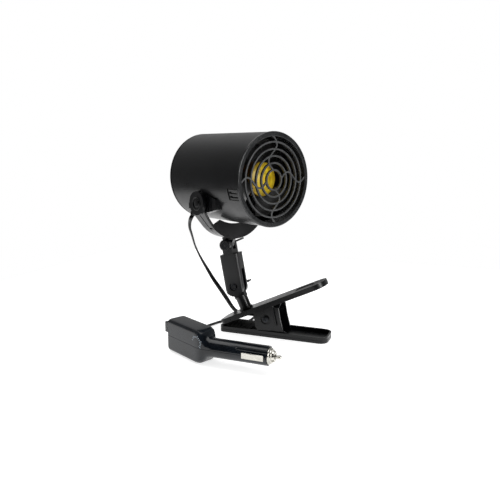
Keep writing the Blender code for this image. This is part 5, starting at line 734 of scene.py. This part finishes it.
# Rear cover: a flat plate with a rolled edge, radial air slots and two sunk seats
cover = {"back": -62.6, "inside": -60.4, "edge": -59.2, "radius": 53.0, "roll": 3.1,
         "rollShares": [(0, 1), (0.1, 0.55), (0.45, 0.16), (1, 0)], "ease": 0.2,
         "spigot": 50.5, "spigotWall": 2.0, "spigotEnd": -55.2, "spigotEase": 0.3,
         "slots": 16, "slot": ((-70, 17, -1.7), (-59, 38.5, 1.7)), "slotRound": 1.6,
         "seat": [(-64, 0), (-64, 3.1), (-61.3, 3.1), (-61.3, 1.7), (-59, 1.7), (-59, 0)],
         "edgeRound": 0.25, "screwAt": -61.25, "screwHead": (2.8, 1.2),
         "screwShank": (9.0, 1.35)}
profile = [(cover["back"], 0)]
profile += [(cover["back"] + cover["roll"] * share, cover["radius"] - cover["roll"] * rest)
            for share, rest in cover["rollShares"]]
ease, soft = cover["ease"], cover["spigotEase"]
profile += [(cover["edge"] - ease, cover["radius"]), (cover["edge"], cover["radius"] - ease),
            (cover["edge"], cover["spigot"]), (cover["spigotEnd"] - soft, cover["spigot"]),
            (cover["spigotEnd"], cover["spigot"] - soft),
            (cover["spigotEnd"], cover["spigot"] - cover["spigotWall"]),
            (cover["inside"], cover["spigot"] - cover["spigotWall"]), (cover["inside"], 0)]
plate = spun(profile, headBody["steps"], False, fanPlace)
cuts = []
for i in range(cover["slots"]):
    slot = block(*cover["slot"])
    corners = [e for e in slot.edges if abs((e.verts[0].co - e.verts[1].co).x) > mm]
    bmesh.ops.bevel(slot, geom=corners, offset=cover["slotRound"] * mm,
                    offset_type="OFFSET", segments=5, profile=0.5, affect="EDGES",
                    material=-1, clamp_overlap=True)
    cuts.append(placed(slot, fanPlace @ turned(360 * (i + 0.5) / cover["slots"], "X")))
for side in sides.values():
    cuts.append(spun(cover["seat"], 28, False, fanPlace @ at(0, 0, side * post["ring"])))
plate = carved(plate, cuts)
softenEdges(plate, cover["edgeRound"], 2, 40)
addPiece("back_cover", toMesh(plate, "back_cover"), satinAbs, "head", ("rear_cover",), 32)
for name, side in (("rear_screw_upper", 1), ("rear_screw_lower", -1)):
    place = fanPlace @ at(cover["screwAt"], 0, side * post["ring"]) @ turnTo["back"]
    screw = crossHead(*cover["screwHead"], place, *cover["screwShank"])
    addPiece(name + "_head", toMesh(screw, name), blackZinc, "head", (name,), 30)

# Bracket: strap with a widening web on each arm, up to its ear, and a cap on each ear
arm = {"footWide": 36.0, "footUp": 24.3, "earWide": 57.0, "earUp": 49.5, "thick": 3.2,
       "rear": (-3.9, -1.6), "front": (16.2, 23.4), "rows": 10, "inward": (0.776, 0.631),
       "webRound": 0.6, "strapRound": 0.45}
# Out from the fan's axis and round the pivot: a rolled rim, a groove and a middle disc
earCap = [(54.62, 0), (54.62, 8.6), (56.5, 8.6), (57.1, 8.35), (57.35, 7.8), (57.35, 7.0),
          (57.0, 6.6), (56.3, 6.5), (56.2, 6.2), (56.2, 4.9), (56.4, 4.6), (57.0, 4.4),
          (57.3, 3.6), (57.3, 0)]
armWebs = []
for side in sides.values():
    armWeb = bmesh.new()
    bmesh.ops.create_grid(armWeb, x_segments=arm["rows"], y_segments=1, size=0.5)
    for vert in armWeb.verts:
        t, acrossShare = vert.co.x + 0.5, vert.co.y + 0.5
        rear = arm["rear"][0] + (arm["rear"][1] - arm["rear"][0]) * t
        front = arm["front"][0] + (arm["front"][1] - arm["front"][0]) * t ** 2
        vert.co = Vector((rear + (front - rear) * acrossShare,
                          side * (arm["footWide"] + (arm["earWide"] - arm["footWide"]) * t),
                          arm["footUp"] + (arm["earUp"] - arm["footUp"]) * t)) * mm
    thicken(armWeb, Vector((0, -side * arm["inward"][0], arm["inward"][1]))
            * arm["thick"] * mm)
    softenEdges(armWeb, arm["webRound"], 3, 50)
    armWebs.append(placed(armWeb, panPlace))
dressed("yoke", arm["strapRound"], satinAbs, extra=armWebs)
for side in sides:
    name = "ear_cap_" + side + "_finish"
    addPiece(name, toMesh(spun(earCap, 56, False, tiltPlace @ turnTo[side]), name),
             satinAbs, "bracket", ("ear_cap_" + side,), 40)

# Knuckles: a cupped boss round each nut, and wings thick enough to grip
knuckle = {"height": 53.8, "out": 10.0, "ringSteps": 48,
           "ring": [(9.3, 4.7), (9.3, 7.0), (13.8, 7.0), (14.3, 6.8), (14.5, 6.3),
                    (14.5, 5.5), (14.2, 4.9), (13.9, 4.7)],
           "cup": [(8.2, 0), (8.2, 5.3), (10.8, 5.3), (10.8, 0)],
           "wings": ((-13.1, 1.6, -1.15), (13.1, 10.9, 1.15)), "wingRound": 1.1,
           "upperTurn": 13.5, "lowerTurn": 7.5, "stemRound": 0.55, "boltRound": 0.3}
ring = spun(knuckle["ring"], knuckle["ringSteps"], True,
            stemPlace @ at(0, 0, knuckle["height"]) @ turnTo["near"])
nutCup = spun(knuckle["cup"], 44, False, stemPlace @ turnTo["near"])
dressed("stem", knuckle["stemRound"], satinAbs, cuts=[nutCup], extra=[ring])
for node, height, turn in (("upper_wing_bolt", knuckle["height"], knuckle["upperTurn"]),
                           ("lower_wing_bolt", 0.0, knuckle["lowerTurn"])):
    place = stemPlace @ at(0, knuckle["out"], height) @ turned(-turn, "Y")
    dressed(node, knuckle["boltRound"], satinAbs,
            extra=[block(*knuckle["wings"], place, knuckle["wingRound"], 4)])

# Upper jaw: thumb ribs at the handle, and a raised cheek cupped round the pin
upperJaw = {"ribs": (69.5, 72.3, 75.1, 77.9, 80.4), "ribHalf": 0.55, "ribReach": 13.0,
            "ribUp": (17.2, 18.6), "taperFrom": 72.0, "taper": 0.55,
            "cheek": [(-11.2, 14.4), (-13.9, 5.9), (-16.9, -3.8), (-15.8, -9.4),
                      (-1.1, -15.3), (9.7, -12.4), (15.8, 14.4)],
            "cheekShare": 0.87, "cheekShift": 0.1, "cheekReach": (17.8, 18.55),
            "cup": 6.3, "cupCut": (15.0, 19.5), "pin": 4.5, "pinCut": (17.2, 18.6),
            "pinAt": 18.3, "pinHead": (4.0, 1.5), "pinShank": (38.8, 2.0),
            "edge": 0.6, "cheekRound": 0.35}
jawCuts, cheeks = [], []
for along in upperJaw["ribs"]:
    reach = upperJaw["ribReach"] - max(0, along - upperJaw["taperFrom"]) * upperJaw["taper"]
    jawCuts.append(block((along - upperJaw["ribHalf"], -reach, upperJaw["ribUp"][0]),
                         (along + upperJaw["ribHalf"], reach, upperJaw["ribUp"][1]),
                         jawPlace))
share, shift = upperJaw["cheekShare"], upperJaw["cheekShift"]
for name, side in sides.items():
    raised = slab([(x * share - shift, z * share + shift) for x, z in upperJaw["cheek"]],
                  "Y", *sideSpan(side, upperJaw["cheekReach"]))
    start, end = upperJaw["cupCut"]
    cup = spun([(start, 0), (start, upperJaw["cup"]), (end, upperJaw["cup"]), (end, 0)],
               40, False, turnTo[name])
    raised = carved(raised, [cup])
    softenEdges(raised, upperJaw["cheekRound"], 3, 30)
    cheeks.append(placed(raised, jawPlace))
    start, end = upperJaw["pinCut"]
    jawCuts.append(spun([(start, upperJaw["pin"]), (start, upperJaw["cup"]),
                         (end, upperJaw["cup"]), (end, upperJaw["pin"])],
                        40, True, jawPlace @ turnTo[name]))
dressed("upper_jaw", upperJaw["edge"], jawPlastic, cuts=jawCuts, extra=cheeks, segments=3)
jawPin = crossHead(*upperJaw["pinHead"], jawPlace @ turnTo["near"]
                   @ at(upperJaw["pinAt"], 0, 0), *upperJaw["pinShank"])
addPiece("jaw_pin_head", toMesh(jawPin, "jaw_pin_head"), blackZinc, "clip_base",
         ("jaw_pin",), 30)

# Lower jaw: a tray with a rolled lip and a step line round its outside
tray = {"corners": ((76, 18, 10, 0), (-62, 18, 6, 90), (-62, -18, 6, 180),
                    (76, -18, 10, 270)), "cornerSteps": 8, "line": (3.3, 4.0),
        "lineDeep": 0.45, "lineOut": 2.0, "cut": (2.0, 5.0), "lip": 0.75}
trayPlace = Matrix.Translation((joints["clip_hinge"].x, joints["clip_hinge"].y, 0))


def trayOutline(inset):
    outline = []
    for x, y, corner, start in tray["corners"]:
        middleX = x - math.copysign(corner, x)
        middleY = y - math.copysign(corner, y)
        for i in range(tray["cornerSteps"] + 1):
            angle = math.radians(start + 90 * i / tray["cornerSteps"])
            outline.append((middleX + (corner - inset) * math.cos(angle),
                            middleY + (corner - inset) * math.sin(angle)))
    return outline


stepLine = carved(slab(trayOutline(-tray["lineOut"]), "Z", *tray["line"], trayPlace),
                  [slab(trayOutline(tray["lineDeep"]), "Z", *tray["cut"], trayPlace)])
dressed("lower_jaw", tray["lip"], jawPlastic, cuts=[stepLine], segments=3)

# Plug: contact windows, a pressed-in bead along the barrel, side contacts and the tip
barrel = {"window": (-27.3, -2.4), "windowUp": (-3.5, 3.5), "windowReach": (8.4, 12.5),
          "bead": ((-34.0, -1.9, 9.1), (2.0, 1.9, 12.5)), "beadRound": 1.1,
          "beadTurn": 52, "strip": (-26.9, -2.8), "stripUp": (-3.15, 3.15),
          "stripReach": (10.3, 10.66), "stripRound": 0.3, "shellEdge": 0.25,
          "contactEdge": 0.1}
bead = block(*barrel["bead"], barrelPlace @ turned(barrel["beadTurn"], "X"),
             barrel["beadRound"], 4)
for node in ("plug_lower_shell", "plug_upper_shell"):
    cuts = [sideBlock(side, barrel["window"], barrel["windowReach"], barrel["windowUp"],
                      barrelPlace) for side in sides.values()]
    if node == "plug_upper_shell":
        cuts.append(bead)
    dressed(node, barrel["shellEdge"], plugPlastic, cuts=cuts, angle=50)
for node, side in (("contact_left", -1), ("contact_right", 1)):
    strip = sideBlock(side, barrel["strip"], barrel["stripReach"], barrel["stripUp"],
                      barrelPlace, barrel["stripRound"])
    dressed(node, barrel["contactEdge"], nickelPlate, extra=[strip])

# Tip: a stepped collar with notches cut in its end, and the pin's round nose
tip = {"collar": [(-2.8, 2.6), (-2.8, 6.4), (0.1, 6.4), (0.1, 8.7), (0.5, 9.0), (1.5, 9.0),
                  (1.9, 8.6), (2.2, 7.8), (3.6, 7.6), (3.9, 7.3), (4.1, 6.2), (6.3, 5.6),
                  (6.6, 5.2), (6.6, 2.6)], "notches": 6, "firstNotch": 30,
       "notch": ((4.3, 4.4, -0.8), (8.0, 8.0, 0.8)), "edge": 0.15,
       "pin": [(-5.7, 0), (-5.7, 4.9), (-5.5, 5.1), (-3.3, 5.1), (-3.1, 4.9), (-3.1, 1.8)],
       "noseAt": 11.2, "nose": 2.3}
notches = [block(*tip["notch"], turned(tip["firstNotch"] + i * 360 / tip["notches"], "X"))
           for i in range(tip["notches"])]
collar = carved(spun(tip["collar"], 60, True), notches)
softenEdges(collar, tip["edge"], 2, 35)
addPiece("tip_crown", toMesh(placed(collar, barrelPlace), "tip_crown"), nickelPlate,
         "clip_base", ("tip_cap",), 35)
nose = [(tip["noseAt"] + tip["nose"] * math.cos(math.radians(angle)),
         tip["nose"] * math.sin(math.radians(angle))) for angle in range(130, 0, -13)]
pin = spun(tip["pin"] + nose + [(tip["noseAt"] + tip["nose"], 0)], 40, False, barrelPlace)
addPiece("tip_pin_finish", toMesh(pin, "tip_pin_finish"), nickelPlate, "tip",
         ("tip_pin",), 40)

# Dial on the plug's side: plain ticks laid on the surface, every third one longer
dial = {"middle": (57.6, 24.6), "inner": 5.6, "outer": (7.2, 8.0), "ticks": 12,
        "start": -35.0, "step": 18.0, "half": 0.28, "deep": (-0.06, 0.08), "from": -20.0,
        "within": 30.0}
drawn = bpy.context.evaluated_depsgraph_get()
surfaces = [BVHTree.FromObject(bpy.data.objects[name], drawn)
            for name in ("plug_upper_shell_finish", "plug_lower_shell_finish")]
plugTurn = plugPlace.to_3x3()
ticks = []
for i in range(dial["ticks"]):
    angle = math.radians(dial["start"] + dial["step"] * i)
    outer = dial["outer"][i % 3 == 0]
    reach = (dial["inner"] + outer) / 2
    spot = plugPlace @ (Vector((dial["middle"][0] + reach * math.cos(angle), dial["from"],
                                dial["middle"][1] + reach * math.sin(angle))) * mm)
    for surface in surfaces:
        hit, normal = surface.ray_cast(spot, plugTurn @ Vector((0, 1, 0)))[:2]
        if hit and (hit - spot).length < dial["within"] * mm:
            radial = plugTurn @ Vector((math.cos(angle), 0, math.sin(angle)))
            radial = (radial - normal * radial.dot(normal)).normalized()
            turn = Matrix((radial, normal.cross(radial), normal)).transposed().to_4x4()
            half = (outer - dial["inner"]) / 2
            ticks.append(block((-half, -dial["half"], dial["deep"][0]),
                               (half, dial["half"], dial["deep"][1]),
                               Matrix.Translation(hit) @ turn))
            break
addPiece("tick_dial", toMesh(gather(ticks), "tick_dial"), dialInk, "clip_base", (), 30)

# Switch: a rounded frame that stands proud of the plug's end
shroud = {"outside": ((-5.9, 1.7, 20.4), (0.2, 13.8, 32.8)), "round": 1.0,
          "opening": ((-9, 4.8, 21.6), (3, 12.4, 31.6)), "edge": 0.15}
switchFrame = carved(block(*shroud["outside"], rounding=shroud["round"]),
                     [block(*shroud["opening"])])
dressed("switch_bezel", shroud["edge"], plugPlastic,
        extra=[placed(switchFrame, plugPlace)])
print("bracket, clip and plug are made")

# The other nodes get their solids' shapes with rounded edges, and their materials
edges = {
    "knuckle_head": (0.3, satinAbs), "post": (0.3, satinAbs),
    "upper_hex_nut": (0.15, blackZinc), "lower_hex_nut": (0.15, blackZinc),
    "upper_pad": (0.15, padRubber), "lower_pad": (0.15, padRubber),
    "rocker_switch": (0.25, satinAbs), "plug_relief": (0.15, cordVinyl),
    "cord_gland": (0.15, cordVinyl), "coil_tie": (0.1, cordVinyl),
    "pin_clip": (0.1, blackZinc), "post_screw": (0.2, blackZinc),
    "swivel_screw": (0.2, blackZinc), "plug_screw": (0.15, blackZinc)}
for node, (width, material) in edges.items():
    dressed(node, width, material)
# Springs: the clip's spring stands free of any body, its placing baked into its mesh, and the
# tip's spring rides its body with a mesh of its own
clipSpring = dressed("jaw_spring", 0, springSteel, angle=60, free=True)
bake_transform(clipSpring)
fuseSpring = dressed("tip_spring", 0, springSteel, angle=60)
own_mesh(fuseSpring)

# The solids that hardly show keep their own shape
kept = {
    "fuse": fuseGlass, "motor_mount": satinAbs, "motor_can": zincSteel,
    "motor_end_cap": nylon, "motor_magnet": ferrite, "motor_brush_near": graphite,
    "motor_brush_far": graphite, "motor_terminal_near": brass,
    "motor_terminal_far": brass, "motor_screw_near": zincSteel,
    "motor_screw_far": zincSteel, "motor_shaft": zincSteel, "armature": copper,
    "lead_wire_near": redPvc, "lead_wire_far": cordVinyl,
    "pivot_screw_near": blackZinc, "pivot_screw_far": blackZinc,
    "pivot_washer_near": blackZinc, "pivot_washer_far": blackZinc}
for node, material in kept.items():
    mesh = nodes[node].data
    mesh.materials.clear()
    mesh.materials.append(material)

# Floor and lights: a glowing white table under a broad overhead light, with a small
# lamp at the left and a larger one at the front right
studio = {"floorDrop": 0.2, "paper": (0.85, 0.85, 0.85, 1), "paperRough": 0.8,
          "paperShine": 0.1, "paperGlow": 0.75, "behind": (-0.36, 0.93, 0.05),
          "roomFrom": -0.1, "roomTo": 0.8, "darkest": 0.025, "lightest": 0.42}
floorShape = bmesh.new()
bmesh.ops.create_grid(floorShape, x_segments=2, y_segments=2, size=0.5)
floorMesh = bpy.data.meshes.new("table_top")
floorShape.to_mesh(floorMesh)
floorShape.free()
floor = bpy.data.objects.new("table_top", floorMesh)
floor.location = (0, 0, -studio["floorDrop"] * mm)
scene.collection.objects.link(floor)
floorPaint = bpy.data.materials.new("white paper")
floorPaint.use_nodes = True
paper = floorPaint.node_tree.nodes["Principled BSDF"].inputs
paper["Base Color"].default_value = studio["paper"]
paper["Roughness"].default_value = studio["paperRough"]
paper["Specular IOR Level"].default_value = studio["paperShine"]
paper["Emission Color"].default_value = (1, 1, 1, 1)
paper["Emission Strength"].default_value = studio["paperGlow"]
floorMesh.materials.append(floorPaint)
world = bpy.data.worlds.new("studio")
world.use_nodes = True
sky = world.node_tree
backdrop = sky.nodes["Background"]
backdrop.inputs["Strength"].default_value = 1.0
seen = addNode(sky, "ShaderNodeLightPath").outputs["Is Camera Ray"]
# A lit sweep behind the fan and a dark room in front of it, met only in reflections
facing = addNode(sky, "ShaderNodeVectorMath",
                 {"operation": "DOT_PRODUCT", 1: Vector(studio["behind"])},
                 {0: addNode(sky, "ShaderNodeTexCoord").outputs["Generated"]})
room = addNode(sky, "ShaderNodeMapRange",
               {"From Min": studio["roomFrom"], "From Max": studio["roomTo"],
                "To Min": studio["darkest"], "To Max": studio["lightest"]},
               {"Value": facing.outputs["Value"]})
shade = addNode(sky, "ShaderNodeMix", {"data_type": "FLOAT", 3: 1.0},
                {0: seen, 2: room.outputs["Result"]})
sky.links.new(shade.outputs[0], backdrop.inputs["Color"])
scene.world = world
lamps = {"overhead": ("SUN", (-0.15, 0.2, 1.3), (0, 0, 0.1), math.radians(60), 1.7),
         "left": ("AREA", (-0.9, -0.8, 0.9), (0, 0, 0.14), 0.2, 1.1),
         "front": ("AREA", (1.35, -0.42, 0.40), (0.03, -0.02, 0.19), 0.5, 9.0)}
for name, (kind, place, aim, spread, power) in lamps.items():
    lamp = bpy.data.objects.new(name, bpy.data.lights.new(name, kind))
    scene.collection.objects.link(lamp)
    setattr(lamp.data, "angle" if kind == "SUN" else "size", spread)
    lamp.data.energy = power
    lamp.location = place
    lamp.rotation_euler = (Vector(aim) - Vector(place)).to_track_quat("-Z", "Y").to_euler()
scene.view_settings.view_transform = "Standard"
print("floor and lights are set")
